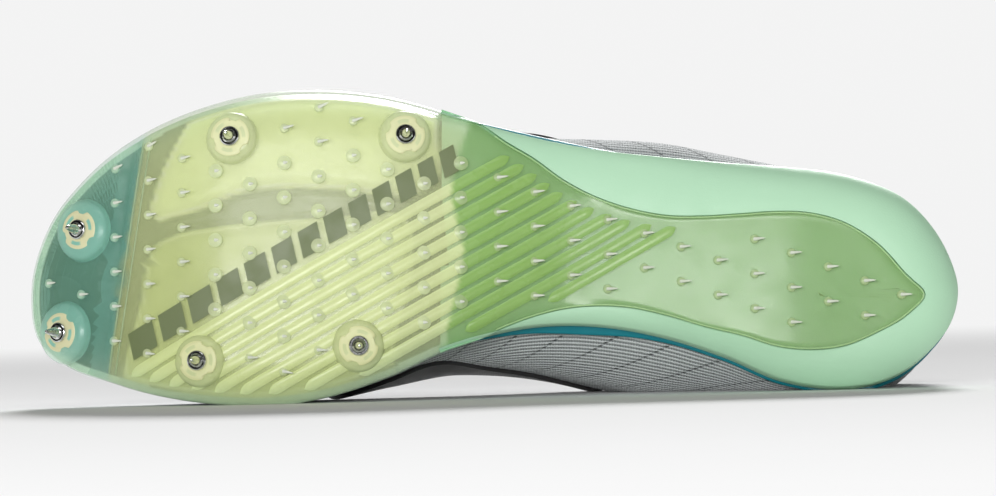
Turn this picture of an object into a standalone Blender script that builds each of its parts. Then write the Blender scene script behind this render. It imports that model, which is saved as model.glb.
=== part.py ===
"""Left track spike shoe, lying on its medial side with sole edge and upper both on the floor.

Every piece is modelled in the shoe's own frame: x runs from the heel to the toe, y to the lateral
side and z up from the ground plane of the ball. One empty then lays the whole shoe down.
Sizes are in metres. The tables hold shares of the named sizes that their headings name.
"""

import math

import bmesh
import bpy
import numpy as np
from mathutils import Matrix, Vector
from mathutils.bvhtree import BVHTree

# Driving sizes of the whole shoe
LENGTH = 0.285
BALL_WIDTH = 0.0964
TOE_SPRING = 0.030
SOLE_STACK = 0.0175
HEEL_COLLAR = 0.058
REST_TILT = math.radians(6.5)
REST_ROLL = math.radians(1.4)
AXIS_TO_FLOOR = 0.0421
GAP = 0.0003

# Layers of the sole
PLATE_THICKNESS = 0.0019
PLATE_COVER = 0.0019
BOARD_THICKNESS = 0.0016
BOARD_SEAT = 0.0005
BOARD_INSET = 0.0010
FOAM_INSET = 0.0009
POD_EDGE_PART = 0.6
INSOLE_INSET = 0.0068
INSOLE_THICKNESS = 0.0035
TOE_FILL_START = 0.8933 * LENGTH
TOE_FILL_SLANT = -0.148
TOE_FILL_RAMP = 0.006
FOAM_FRONT = 0.5449 * LENGTH
FOAM_FRONT_BOW = 0.0035

# Ribs across the plate
RIB_ANGLE = math.radians(30)
RIB_START = (0.8990 * LENGTH, -0.3838 * BALL_WIDTH)
RIB_PITCH = 0.0044
RIB_COUNT = 11
RIB_WIDTH = 0.0022
RIB_HEIGHT = 0.0007
RIB_ROOT = 0.0008
RIB_MARGIN = 0.0032
RIB_STEP = 0.012

# Spikes and what holds them
SPIKE_LENGTH = 0.0064
SPIKE_RADIUS = 0.0021
SPIKE_TIP_RADIUS = 0.0004
SPIKE_FLANGE_RADIUS = 0.00305
SPIKE_FLANGE_THICKNESS = 0.0010
STUD_RADIUS = 0.0016
STUD_LENGTH = 0.0030
RECEPTACLE_RADIUS = 0.0062
RECEPTACLE_NOTCH = 0.0012
RECEPTACLE_THICKNESS = 0.0014
BOSS_HEIGHT = 0.0023
BOSS_ROOT = 0.0010

# Upper, overlay, tongue and lace
UPPER_WALL = 0.0017
FEATHER_INSET = 0.0022
LASTING_MARGIN = 0.0105
OVERLAY_THICKNESS = 0.0007
OVERLAY_SEAT = 0.0007
TONGUE_THICKNESS = 0.0026
TONGUE_OVERLAP = 0.86
TONGUE_RISE = 0.0012
TONGUE_TOP = (-0.0140, 0.0105)
TONGUE_TAPER = 0.20
TONGUE_CLEARANCE = 0.0010
LACE_WIDTH = 0.0050
LACE_THICKNESS = 0.0010
LACE_CLEARANCE = 0.0015
LACE_END = 0.0004
LACE_SECTIONS = 17
LACE_RUNS = 5
LACE_FIRST_ROW = 3
LACE_LAST_ROW = 2
EYELET_LINE = 0.955

# How finely the solids are divided
SIDE_STEPS = 32
ROUND_STEPS = 16
UPPER_HEIGHTS = (0.0, 0.12, 0.26, 0.42, 0.55, 0.68, 0.80, 0.91, 1.0)
PLATE_PARTS = (0.0, 0.05, 0.14, 0.28, 0.70)

# Plan of the sole: station / LENGTH, lateral edge / BALL_WIDTH, medial edge / BALL_WIDTH
FOOT_PLAN = (
    (0.000, -0.119, -0.119),
    (0.012, 0.012, -0.243),
    (0.028, 0.092, -0.301),
    (0.061, 0.188, -0.381),
    (0.093, 0.233, -0.419),
    (0.126, 0.261, -0.432),
    (0.191, 0.284, -0.409),
    (0.255, 0.297, -0.332),
    (0.320, 0.315, -0.272),
    (0.386, 0.336, -0.239),
    (0.449, 0.368, -0.239),
    (0.519, 0.415, -0.281),
    (0.547, 0.436, -0.308),
    (0.614, 0.490, -0.399),
    (0.677, 0.511, -0.461),
    (0.742, 0.505, -0.489),
    (0.807, 0.465, -0.478),
    (0.872, 0.390, -0.442),
    (0.921, 0.298, -0.394),
    (0.953, 0.210, -0.357),
    (0.970, 0.152, -0.325),
    (0.986, 0.068, -0.284),
    (1.000, -0.094, -0.094),
)

# Plan of the plate behind the ball, with the same columns
TAIL_PLAN = (
    (0.041, -0.137, -0.137),
    (0.059, -0.081, -0.200),
    (0.092, 0.024, -0.258),
    (0.128, 0.090, -0.302),
    (0.164, 0.118, -0.314),
    (0.198, 0.122, -0.305),
    (0.236, 0.115, -0.270),
    (0.276, 0.109, -0.241),
    (0.317, 0.112, -0.204),
    (0.358, 0.137, -0.178),
    (0.393, 0.174, -0.173),
    (0.427, 0.228, -0.183),
    (0.458, 0.294, -0.207),
    (0.487, 0.344, -0.239),
    (0.519, 0.407, -0.280),
)
PLATE_JOIN = 0.54

# Side view of the sole: station / LENGTH, underside / TOE_SPRING, thickness / SOLE_STACK
SIDE_PROFILE = (
    (0.000, 0.217, 1.11),
    (0.035, 0.193, 1.14),
    (0.105, 0.167, 1.17),
    (0.210, 0.133, 1.14),
    (0.316, 0.200, 0.89),
    (0.421, 0.233, 0.73),
    (0.526, 0.100, 0.86),
    (0.614, 0.017, 0.95),
    (0.702, 0.000, 1.00),
    (0.790, 0.083, 1.00),
    (0.860, 0.267, 0.80),
    (0.912, 0.467, 0.57),
    (0.954, 0.683, 0.43),
    (0.989, 0.917, 0.37),
    (1.000, 1.000, 0.34),
)

# Rounded edge of the plate: station / LENGTH, width / BALL_WIDTH, height / SOLE_STACK
PLATE_ROLL = (
    (0.000, 0.040, 0.03),
    (0.420, 0.040, 0.03),
    (0.520, 0.100, 0.22),
    (0.614, 0.145, 0.36),
    (0.800, 0.145, 0.38),
    (0.900, 0.130, 0.24),
    (0.954, 0.110, 0.16),
    (1.000, 0.090, 0.10),
)

# Rounded edge of the foam: station / LENGTH, lateral and medial width / BALL_WIDTH, height / SOLE_STACK
FOAM_ROLL = (
    (0.000, 0.160, 0.160, 0.72),
    (0.200, 0.170, 0.145, 0.66),
    (0.320, 0.200, 0.100, 0.42),
    (0.420, 0.140, 0.060, 0.30),
    (0.520, 0.060, 0.050, 0.24),
    (0.600, 0.050, 0.050, 0.20),
)

# How far the board stands out at the waist: station / LENGTH, lateral and medial / BALL_WIDTH
BOARD_FLARE = (
    (0.000, 0.000, 0.000),
    (0.260, 0.002, 0.002),
    (0.330, 0.006, 0.012),
    (0.405, 0.009, 0.026),
    (0.480, 0.009, 0.012),
    (0.540, 0.004, 0.000),
    (1.000, 0.000, 0.000),
)

# Widest line of the upper: station / LENGTH, overhang past the sole's plan / BALL_WIDTH on the
# lateral and the medial side, height above the board / HEEL_COLLAR on the same sides
UPPER_BULGE = (
    (0.000, -0.025, -0.025, 0.40, 0.40),
    (0.060, -0.010, -0.002, 0.38, 0.42),
    (0.126, 0.010, 0.014, 0.32, 0.47),
    (0.191, 0.030, 0.036, 0.28, 0.50),
    (0.255, 0.052, 0.094, 0.26, 0.50),
    (0.320, 0.068, 0.146, 0.26, 0.51),
    (0.386, 0.058, 0.146, 0.27, 0.50),
    (0.449, 0.030, 0.116, 0.28, 0.47),
    (0.519, 0.000, 0.062, 0.28, 0.42),
    (0.560, -0.018, 0.026, 0.28, 0.38),
    (0.614, -0.030, -0.012, 0.27, 0.33),
    (0.700, -0.034, -0.030, 0.24, 0.27),
    (0.800, -0.036, -0.034, 0.20, 0.22),
    (0.900, -0.036, -0.036, 0.17, 0.17),
    (1.000, -0.034, -0.034, 0.14, 0.14),
)

# Opening of the upper: station on the sole / LENGTH, place of the edge / LENGTH, its lateral and
# medial distance / BALL_WIDTH, height above the board / HEEL_COLLAR, slope of the wall there in degrees
UPPER_EDGE = (
    (0.000, 0.014, -0.093, -0.093, 1.000, 82),
    (0.042, 0.032, 0.031, -0.218, 0.985, 82),
    (0.105, 0.084, 0.156, -0.322, 0.920, 84),
    (0.175, 0.154, 0.228, -0.389, 0.825, 84),
    (0.246, 0.232, 0.259, -0.417, 0.790, 84),
    (0.316, 0.309, 0.259, -0.410, 0.880, 78),
    (0.365, 0.351, 0.239, -0.379, 1.020, 64),
    (0.439, 0.400, 0.187, -0.280, 1.050, 45),
    (0.526, 0.474, 0.150, -0.207, 1.010, 37),
    (0.614, 0.537, 0.130, -0.171, 0.965, 33),
    (0.702, 0.589, 0.114, -0.150, 0.925, 30),
    (0.789, 0.632, 0.083, -0.119, 0.890, 24),
    (0.895, 0.653, 0.036, -0.067, 0.865, 17),
    (1.000, 0.660, -0.016, -0.016, 0.850, 14),
)
BULGE_TURN = 0.42

# Lower edge of the overlay: station / LENGTH, height up the wall from 0 at the sole to 1 at the opening
OVERLAY_EDGE = (
    (0.352, 0.93),
    (0.366, 0.78),
    (0.390, 0.66),
    (0.440, 0.46),
    (0.510, 0.34),
    (0.590, 0.15),
    (0.607, 0.20),
    (0.641, 0.36),
    (0.675, 0.51),
    (0.710, 0.64),
    (0.746, 0.74),
    (0.790, 0.80),
    (0.880, 0.84),
    (1.000, 0.84),
)
OVERLAY_START = 0.385
OVERLAY_TOP = 0.985

# Plan of the two pods: station and lateral distance, as shares of LENGTH and BALL_WIDTH
LATERAL_POD = (
    (0.562, 0.62),
    (0.560, 0.50),
    (0.558, 0.36),
    (0.559, 0.225),
    (0.572, 0.189),
    (0.668, 0.189),
    (0.737, 0.192),
    (0.771, 0.178),
    (0.805, 0.137),
    (0.845, 0.106),
    (0.860, 0.098),
    (0.869, 0.131),
    (0.865, 0.192),
    (0.832, 0.402),
    (0.808, 0.52),
    (0.790, 0.62),
)
MEDIAL_POD = (
    (0.606, -0.62),
    (0.605, -0.50),
    (0.603, -0.280),
    (0.593, -0.147),
    (0.586, -0.045),
    (0.590, 0.095),
    (0.602, 0.118),
    (0.668, 0.109),
    (0.754, 0.092),
    (0.805, 0.077),
    (0.840, 0.060),
    (0.866, 0.020),
    (0.873, -0.032),
    (0.878, -0.132),
    (0.888, -0.250),
    (0.899, -0.378),
    (0.904, -0.50),
    (0.908, -0.62),
)

# Spikes: station / LENGTH, lateral distance / BALL_WIDTH, radius of the boss in metres
SPIKES = (
    (0.942, 0.080, 0.0093),
    (0.962, -0.243, 0.0093),
    (0.780, 0.354, 0.0078),
    (0.595, 0.358, 0.0078),
    (0.813, -0.350, 0.0078),
    (0.644, -0.306, 0.0078),
)

# Finish of each kind of piece: colour, roughness, metallic
FINISHES = {
    "plate": ((0.45, 0.68, 0.28, 1.0), 0.25, 0.0),
    "pod": ((0.70, 0.78, 0.30, 1.0), 0.35, 0.0),
    "foam": ((0.52, 0.86, 0.60, 1.0), 0.55, 0.0),
    "board": ((0.01, 0.22, 0.26, 1.0), 0.35, 0.0),
    "upper": ((0.80, 0.82, 0.82, 1.0), 0.85, 0.0),
    "overlay": ((0.02, 0.02, 0.02, 1.0), 0.60, 0.0),
    "tongue": ((0.04, 0.04, 0.04, 1.0), 0.85, 0.0),
    "insole": ((0.60, 0.62, 0.62, 1.0), 0.90, 0.0),
    "lace": ((0.85, 0.86, 0.86, 1.0), 0.85, 0.0),
    "spike": ((0.70, 0.70, 0.72, 1.0), 0.20, 1.0),
    "receptacle": ((0.78, 0.70, 0.45, 1.0), 0.50, 0.0),
}


def clear_scene():
    for obj in list(bpy.data.objects):
        bpy.data.objects.remove(obj, do_unlink=True)


def smooth_value(rows, column, share):
    """A column of a table at these shares of the length, smooth between the rows."""
    stations = np.array([row[0] for row in rows])
    values = np.array([row[column] for row in rows])
    slopes = np.gradient(values, stations)
    share = np.clip(share, stations[0], stations[-1])
    cell = np.clip(np.searchsorted(stations, share, side="right") - 1, 0, len(rows) - 2)
    width = stations[cell + 1] - stations[cell]
    t = (share - stations[cell]) / width
    start = (2 * t**3 - 3 * t**2 + 1) * values[cell] + (t**3 - 2 * t**2 + t) * width * slopes[cell]
    end = (3 * t**2 - 2 * t**3) * values[cell + 1] + (t**3 - t**2) * width * slopes[cell + 1]
    return start + end


def closed_spline(knots, steps):
    """A smooth closed curve through the knots, with this many steps from each to the next."""
    ahead = np.roll(knots, -1, axis=0) - knots
    span = np.linalg.norm(ahead, axis=1, keepdims=True)
    behind = np.roll(ahead, 1, axis=0)
    span_behind = np.roll(span, 1, axis=0)
    slope = (ahead / span * span_behind + behind / span_behind * span) / (span + span_behind)
    t = np.linspace(0, 1, steps, endpoint=False)[None, :, None]
    start = (2 * t**3 - 3 * t**2 + 1) * knots[:, None] + (t**3 - 2 * t**2 + t) * (slope * span)[:, None]
    end_knots = np.roll(knots, -1, axis=0)[:, None]
    end_slopes = (np.roll(slope, -1, axis=0) * span)[:, None]
    end = (3 * t**2 - 2 * t**3) * end_knots + (t**3 - t**2) * end_slopes
    return (start + end).reshape(-1, 2)


def evenly(path, count):
    """Points spaced evenly along an open path, from its first point to just before its last."""
    length = np.concatenate([[0], np.cumsum(np.linalg.norm(np.diff(path, axis=0), axis=1))])
    wanted = np.linspace(0, length[-1], count, endpoint=False)
    return np.column_stack([np.interp(wanted, length, path[:, axis]) for axis in range(2)])


def plan_loop(rows):
    """The closed plan of a table: heel tip, lateral side, toe tip, and the medial side back."""
    lateral = [(row[0] * LENGTH, row[1] * BALL_WIDTH) for row in rows]
    medial = [(row[0] * LENGTH, row[2] * BALL_WIDTH) for row in rows[-2:0:-1]]
    steps = 12
    curve = closed_spline(np.array(lateral + medial), steps)
    toe = (len(rows) - 1) * steps
    out = evenly(curve[: toe + 1], SIDE_STEPS)
    back = evenly(np.vstack([curve[toe:], curve[:1]]), SIDE_STEPS)
    return np.vstack([out, back])


def outward(loop):
    """Unit normals of a plan loop, pointing away from the shoe."""
    along = np.roll(loop, -1, axis=0) - np.roll(loop, 1, axis=0)
    along /= np.linalg.norm(along, axis=1, keepdims=True)
    return np.column_stack([-along[:, 1], along[:, 0]])


def grown(loop, distance):
    """The plan loop moved outwards by a distance, which may differ from point to point."""
    return loop + outward(loop) * np.reshape(distance, (-1, 1))


def towards_spine(loop, part):
    """The plan loop drawn in towards the middle of the shoe by this part of the way."""
    low = loop[:, 0].min()
    high = loop[:, 0].max()
    reach = 0.35 * (loop[:, 1].max() - loop[:, 1].min())
    station = np.clip(loop[:, 0], low + reach, high - reach)
    other = np.roll(loop[::-1], 1, axis=0)
    middle = (loop[:, 1] + other[:, 1]) / 2
    return loop + part * (np.column_stack([station, middle]) - loop)


def edge_distance(points, loop):
    """How far each plan point lies from a closed loop."""
    start = loop[None]
    along = (np.roll(loop, -1, axis=0) - loop)[None]
    offset = points[:, None] - start
    part = np.clip((offset * along).sum(2) / (along**2).sum(2), 0, 1)
    return np.linalg.norm(offset - part[..., None] * along, axis=2).min(1)


def inside(points, loop):
    """Whether each plan point lies inside a closed loop."""
    x, y = points[:, :1], points[:, 1:]
    x0, y0 = loop[None, :, 0], loop[None, :, 1]
    x1, y1 = np.roll(x0, -1), np.roll(y0, -1)
    crosses = ((y0 > y) != (y1 > y)) & (x < (x1 - x0) * (y - y0) / (y1 - y0 + 1e-12) + x0)
    return crosses.sum(1) % 2 == 1


FOOT_EDGE = plan_loop(FOOT_PLAN)
PLATE_EDGE = plan_loop(TAIL_PLAN + tuple(row for row in FOOT_PLAN if row[0] > PLATE_JOIN))
LATERAL_SIDE = np.arange(len(FOOT_EDGE)) <= SIDE_STEPS


def underside(x):
    return TOE_SPRING * smooth_value(SIDE_PROFILE, 1, x / LENGTH)


def board_top(x):
    return underside(x) + SOLE_STACK * smooth_value(SIDE_PROFILE, 2, x / LENGTH)


def board_underside(x):
    return board_top(x) - BOARD_THICKNESS


def rolled(distance, width, height):
    """Rise of a rounded edge, from nothing at its full width to its height at the edge."""
    nearness = np.clip(1 - distance / width, 0, 1)
    return height * (1 - np.sqrt(1 - nearness**2 * 0.98))


def plate_underside(points):
    share = points[:, 0] / LENGTH
    width = BALL_WIDTH * smooth_value(PLATE_ROLL, 1, share)
    height = SOLE_STACK * smooth_value(PLATE_ROLL, 2, share)
    return underside(points[:, 0]) + rolled(edge_distance(points, PLATE_EDGE), width, height)


def plate_top(points):
    """The plate is thin over the pods and the foam, and fills up to the board under the toes."""
    thin = plate_underside(points) + PLATE_THICKNESS
    full = np.maximum(board_underside(points[:, 0]) - GAP, thin)
    past = points[:, 0] - TOE_FILL_START - TOE_FILL_SLANT * points[:, 1]
    ramp = np.clip(past / TOE_FILL_RAMP, 0, 1)
    return thin + (full - thin) * ramp * ramp * (3 - 2 * ramp)


def foam_underside(points):
    share = points[:, 0] / LENGTH
    lateral = smooth_value(FOAM_ROLL, 1, share)
    medial = smooth_value(FOAM_ROLL, 2, share)
    middle = 0.5 + 0.5 * np.clip((points[:, 1] / BALL_WIDTH + 0.05) / 0.10, -1, 1)
    width = BALL_WIDTH * (medial + (lateral - medial) * middle)
    height = SOLE_STACK * smooth_value(FOAM_ROLL, 3, share)
    return underside(points[:, 0]) + rolled(edge_distance(points, FOOT_EDGE), width, height)


def rest_turn():
    """The turn that lays the shoe on its medial side, with its toe along -X and its heel a little down."""
    lay = Matrix((
        (-1, 0, 0),
        (0, math.sin(REST_TILT), math.cos(REST_TILT)),
        (0, math.cos(REST_TILT), -math.sin(REST_TILT)),
    ))
    return Matrix.Rotation(REST_ROLL, 3, "Y") @ lay


def laid_flat(points):
    """Points that would reach below the floor, pressed level with it."""
    along, across, up = rest_turn()[2]
    lowest = -(AXIS_TO_FLOOR + along * points[..., 0] + up * points[..., 2]) / across
    flat = points.copy()
    flat[..., 1] = np.maximum(points[..., 1], lowest)
    return flat


def at_height(plan, z):
    return np.column_stack([plan, np.broadcast_to(z, len(plan))])


def add_object(name, points, faces, kind):
    """One closed mesh with outward faces and its own material."""
    mesh = bpy.data.meshes.new(name)
    shape = bmesh.new()
    known = {}
    vertices = []
    for point in points:
        spot = tuple(round(value, 7) for value in point)
        if spot not in known:
            known[spot] = shape.verts.new(point)
        vertices.append(known[spot])
    for face in faces:
        corners = list(dict.fromkeys(vertices[corner] for corner in face))
        if len(corners) > 2:
            shape.faces.new(corners)
    bmesh.ops.recalc_face_normals(shape, faces=shape.faces[:])
    shape.to_mesh(mesh)
    shape.free()
    mesh.shade_smooth()
    mesh.set_sharp_from_angle(angle=math.radians(40))
    obj = bpy.data.objects.new(name, mesh)
    bpy.context.collection.objects.link(obj)
    if kind:
        mesh.materials.append(finish(name, kind))
    return obj


def finish(name, kind):
    colour, roughness, metallic = FINISHES[kind]
    material = bpy.data.materials.new(name)
    material.use_nodes = True
    shader = material.node_tree.nodes["Principled BSDF"]
    shader.inputs["Base Color"].default_value = colour
    shader.inputs["Roughness"].default_value = roughness
    shader.inputs["Metallic"].default_value = metallic
    return material


def ring_faces(rings, count):
    """Quads between neighbouring rings of points."""
    faces = []
    for ring in range(rings - 1):
        for step in range(count):
            after = (step + 1) % count
            low, high = ring * count, (ring + 1) * count
            faces.append((low + step, low + after, high + after, high + step))
    return faces


def cap_faces(first, count):
    """A cap across one ring, from its lateral half to its medial half."""
    half = count // 2
    faces = []
    for step in range(half):
        left, right = step, step + 1
        faces.append(tuple(first + i % count for i in (left, right, count - right, count - left)))
    return faces


def ring_solid(name, rings, kind):
    """A solid whose skin is a chain of rings, capped across the first and the last."""
    count = len(rings[0])
    faces = ring_faces(len(rings), count) + cap_faces(0, count) + cap_faces((len(rings) - 1) * count, count)
    return add_object(name, np.vstack(rings), faces, kind)


def sheet_solid(name, low, high, kind, closed=False):
    """A solid between two grids of points. A closed one joins up along its rows."""
    rows, columns = low.shape[:2]
    points = np.vstack([low.reshape(-1, 3), high.reshape(-1, 3)])
    top = rows * columns
    faces = []
    last = rows if closed else rows - 1
    for row in range(last):
        here, after = row * columns, (row + 1) % rows * columns
        for column in range(columns - 1):
            faces.append((here + column, after + column, after + column + 1, here + column + 1))
            faces.append(tuple(top + i for i in (here + column, here + column + 1,
                                                 after + column + 1, after + column)))
        faces.append((here, top + here, top + after, after))
        end = columns - 1
        faces.append((here + end, after + end, top + after + end, top + here + end))
    if not closed:
        for row in (0, rows - 1):
            for column in range(columns - 1):
                here = row * columns + column
                faces.append((here, here + 1, top + here + 1, top + here))
    return add_object(name, points, faces, kind)


def prism(name, plan, low, high):
    """An upright prism over a plan outline."""
    count = len(plan)
    points = np.vstack([at_height(plan, low), at_height(plan, high)])
    faces = [tuple(range(count)), tuple(range(count, 2 * count))]
    for step in range(count):
        after = (step + 1) % count
        faces.append((step, after, count + after, count + step))
    return add_object(name, points, faces, None)


def turned_shape(profile, place, axis, steps=ROUND_STEPS):
    """Points and faces of a turned shape, from radius and height pairs that start and end on its axis."""
    points = [(0, 0, profile[0][1])]
    for radius, height in profile[1:-1]:
        for step in range(steps):
            angle = 2 * math.pi * step / steps
            points.append((radius * math.cos(angle), radius * math.sin(angle), height))
    points.append((0, 0, profile[-1][1]))
    faces = []
    rings = len(profile) - 2
    end = len(points) - 1
    for step in range(steps):
        after = (step + 1) % steps
        faces.append((0, 1 + step, 1 + after))
        faces.append((end, end - steps + after, end - steps + step))
        for ring in range(rings - 1):
            low, high = 1 + ring * steps, 1 + (ring + 1) * steps
            faces.append((low + step, high + step, high + after, low + after))
    return placed(points, place, axis), faces


def add_shapes(name, shapes, kind):
    """One object from several shapes that stand apart."""
    points, faces = [], []
    for shape_points, shape_faces in shapes:
        faces += [tuple(len(points) + corner for corner in face) for face in shape_faces]
        points += shape_points
    return add_object(name, points, faces, kind)


def placed(points, place, axis):
    """Local points carried to a place, with their own z along the axis."""
    turn = Vector((0, 0, 1)).rotation_difference(Vector(axis)).to_matrix()
    return [tuple(turn @ Vector(point) + Vector(place)) for point in points]


def cut(obj, tool, operation="DIFFERENCE", solver="EXACT"):
    """Cuts, joins or keeps the overlap with a tool, which stays out of the model."""
    tool.hide_render = True
    tool.display_type = "WIRE"
    step = obj.modifiers.new(tool.name, "BOOLEAN")
    step.operation = operation
    step.solver = solver
    step.object = tool


def make_plate():
    """The full-length plate, with its ribs, its bosses and a pocket for each receptacle."""
    loops = [towards_spine(PLATE_EDGE, part) for part in PLATE_PARTS]
    below = [laid_flat(at_height(loop, plate_underside(loop))) for loop in loops[::-1]]
    plate = ring_solid("outsole_plate", below + plate_roof(), "plate")
    bosses = add_shapes("bosses", [boss_shape(spike) for spike in SPIKES], None)
    pockets = add_shapes("pockets", [pocket_shape(spike) for spike in SPIKES], None)
    cut(plate, make_ribs(), "UNION", "MANIFOLD")
    cut(plate, bosses, "UNION", "MANIFOLD")
    cut(plate, pockets, "DIFFERENCE", "MANIFOLD")
    return plate


def plate_normal(point):
    """The direction straight out of the plate's underside at a plan point."""
    step = 0.0005
    near = np.array([point, (point[0] + step, point[1]), (point[0], point[1] + step)])
    z = plate_underside(near)
    return Vector(((z[1] - z[0]) / step, (z[2] - z[0]) / step, -1)).normalized()


def spike_seat(spike):
    """Where a spike meets the plate's underside, and the way that it points."""
    plan = (spike[0] * LENGTH, spike[1] * BALL_WIDTH)
    height = float(plate_underside(np.array([plan]))[0])
    return Vector((*plan, height)), plate_normal(plan)


def boss_shape(spike):
    """The dome that a spike stands on."""
    radius = spike[2]
    profile = (
        (0, -BOSS_ROOT),
        (radius, -BOSS_ROOT),
        (radius, 0.0),
        (0.95 * radius, 0.30 * BOSS_HEIGHT),
        (0.80 * radius, 0.66 * BOSS_HEIGHT),
        (0.60 * radius, 0.90 * BOSS_HEIGHT),
        (0.45 * radius, BOSS_HEIGHT),
        (0, BOSS_HEIGHT),
    )
    return turned_shape(profile, *spike_seat(spike))


def pocket_floor():
    """Height of a pocket's floor along the spike's direction, from the plate's underside."""
    return BOSS_HEIGHT - PLATE_COVER


def pocket_shape(spike):
    """The room for a receptacle, open towards the board, and the stud's hole through the boss."""
    radius = RECEPTACLE_RADIUS + GAP
    hole = STUD_RADIUS + GAP
    profile = (
        (0, -SOLE_STACK),
        (radius, -SOLE_STACK),
        (radius, pocket_floor()),
        (hole, pocket_floor()),
        (hole, 2 * BOSS_HEIGHT),
        (0, 2 * BOSS_HEIGHT),
    )
    return turned_shape(profile, *spike_seat(spike))


def make_ribs():
    """Raised ribs that follow the plate's underside on parallel slanting lines."""
    along = np.array([-math.cos(RIB_ANGLE), math.sin(RIB_ANGLE)])
    across = np.array([-math.sin(RIB_ANGLE), -math.cos(RIB_ANGLE)])
    points, faces = [], []
    for rib in range(RIB_COUNT):
        middle = np.array(RIB_START) + across * RIB_PITCH * (rib + 0.5)
        reach = np.arange(-LENGTH, LENGTH, 0.001)
        line = middle + reach[:, None] * along
        held = inside(line, PLATE_EDGE) & (edge_distance(line, PLATE_EDGE) > RIB_MARGIN)
        run = np.array([reach[held].min(), reach[held].max()])
        steps = max(2, round((run[1] - run[0]) / RIB_STEP))
        for place in np.linspace(run[0], run[1], steps + 1):
            centre = middle + place * along
            sides = np.array([centre - across * RIB_WIDTH / 2, centre + across * RIB_WIDTH / 2])
            root = plate_underside(sides) + RIB_ROOT
            crown = plate_underside(sides) - RIB_HEIGHT
            points += [(*sides[0], root[0]), (*sides[1], root[1]), (*sides[1], crown[1]), (*sides[0], crown[0])]
        first = len(points) - 4 * (steps + 1)
        faces.append(tuple(first + corner for corner in range(4)))
        faces.append(tuple(first + 4 * steps + corner for corner in range(4)))
        for step in range(steps):
            low = first + 4 * step
            for corner in range(4):
                after = (corner + 1) % 4
                faces.append((low + corner, low + after, low + 4 + after, low + 4 + corner))
    return add_object("ribs", points, faces, None)


def make_spikes():
    for number, spike in enumerate(SPIKES, 1):
        place, down = spike_seat(spike)
        seat = place + down * (BOSS_HEIGHT + GAP)
        rim = SPIKE_FLANGE_THICKNESS
        profile = (
            (0, -STUD_LENGTH),
            (STUD_RADIUS, -STUD_LENGTH),
            (STUD_RADIUS, 0),
            (SPIKE_FLANGE_RADIUS, 0),
            (SPIKE_FLANGE_RADIUS, 0.6 * rim),
            (0.85 * SPIKE_FLANGE_RADIUS, rim),
            (SPIKE_RADIUS, rim),
            (0.60 * SPIKE_RADIUS, 0.45 * SPIKE_LENGTH),
            (SPIKE_TIP_RADIUS, SPIKE_LENGTH),
            (0, SPIKE_LENGTH),
        )
        add_shapes(f"spike_{number}", [turned_shape(profile, seat, down, steps=8)], "spike")


def make_receptacles():
    """Three-lobed rings that lie in the plate's pockets and hold the spikes' studs."""
    steps = 12
    low = pocket_floor() - GAP - RECEPTACLE_THICKNESS
    for number, spike in enumerate(SPIKES, 1):
        place, down = spike_seat(spike)
        points = []
        for radius, height in ((1, low), (1, low + RECEPTACLE_THICKNESS), (0, low + RECEPTACLE_THICKNESS), (0, low)):
            for step in range(steps):
                angle = 2 * math.pi * step / steps
                notch = RECEPTACLE_NOTCH if step % 4 == 0 else 0.0
                reach = RECEPTACLE_RADIUS - notch if radius else STUD_RADIUS + GAP
                points.append((reach * math.cos(angle), reach * math.sin(angle), height))
        faces = []
        for ring in range(4):
            here, after_ring = ring * steps, (ring + 1) % 4 * steps
            for step in range(steps):
                after = (step + 1) % steps
                faces.append((here + step, here + after, after_ring + after, after_ring + step))
        add_object(f"receptacle_{number}", placed(points, place, down), faces, "receptacle")


def make_foam():
    """Foam from the heel to just behind the pods, with the plate let into it."""
    edge = grown(FOOT_EDGE, -FOAM_INSET)
    parts = (0.0, 0.04, 0.10, 0.20, 0.36, 0.70)
    loops = [towards_spine(edge, part) for part in parts]
    below = [laid_flat(at_height(loop, foam_underside(loop))) for loop in loops[::-1]]
    above = [laid_flat(at_height(loop, board_underside(loop[:, 0]) - GAP)) for loop in (loops[0], loops[-1])]
    foam = ring_solid("midsole_foam", below + above, "foam")
    let_in = grown(PLATE_EDGE, GAP)
    under = [at_height(loop, -SOLE_STACK) for loop in (towards_spine(let_in, 0.7), let_in)]
    over = [loop + (0, 0, GAP) for loop in plate_roof()]
    rim = at_height(let_in, over[0][:, 2])
    cut(foam, ring_solid("plate_recess", under + [rim] + over, None))
    front = []
    for step in range(9):
        y = BALL_WIDTH * (1 - step / 4)
        bow = FOAM_FRONT_BOW * math.cos(math.pi * y / BALL_WIDTH)
        front.append((FOAM_FRONT - bow, y))
    front += [(2 * LENGTH, -BALL_WIDTH), (2 * LENGTH, BALL_WIDTH)]
    cut(foam, prism("foam_front", np.array(front), -SOLE_STACK, 4 * SOLE_STACK))
    return foam


def plate_roof():
    """The rings of the plate's upper face, from its edge inwards."""
    loops = [towards_spine(PLATE_EDGE, part) for part in PLATE_PARTS]
    return [laid_flat(at_height(loop, plate_top(loop))) for loop in loops]


def make_pod(name, plan):
    """One pod: the space between plate and board, kept where the pod's plan lies."""
    roof = plate_roof()
    edge = roof[0] + (roof[1] - roof[0]) * POD_EDGE_PART
    floor = [ring + (0, 0, GAP) for ring in [edge] + roof[1:]]
    above = []
    for ring in (floor[0], floor[-1]):
        height = np.maximum(board_underside(ring[:, 0]) - GAP, ring[:, 2] + GAP)
        above.append(at_height(ring[:, :2], height))
    below = floor[::-1]
    pod = ring_solid(name, below + above, "pod")
    corners = np.array([(x * LENGTH, y * BALL_WIDTH) for x, y in plan])
    cut(pod, prism(f"{name}_plan", closed_spline(corners, 3), -SOLE_STACK, 4 * SOLE_STACK), "INTERSECT")
    return pod


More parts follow.
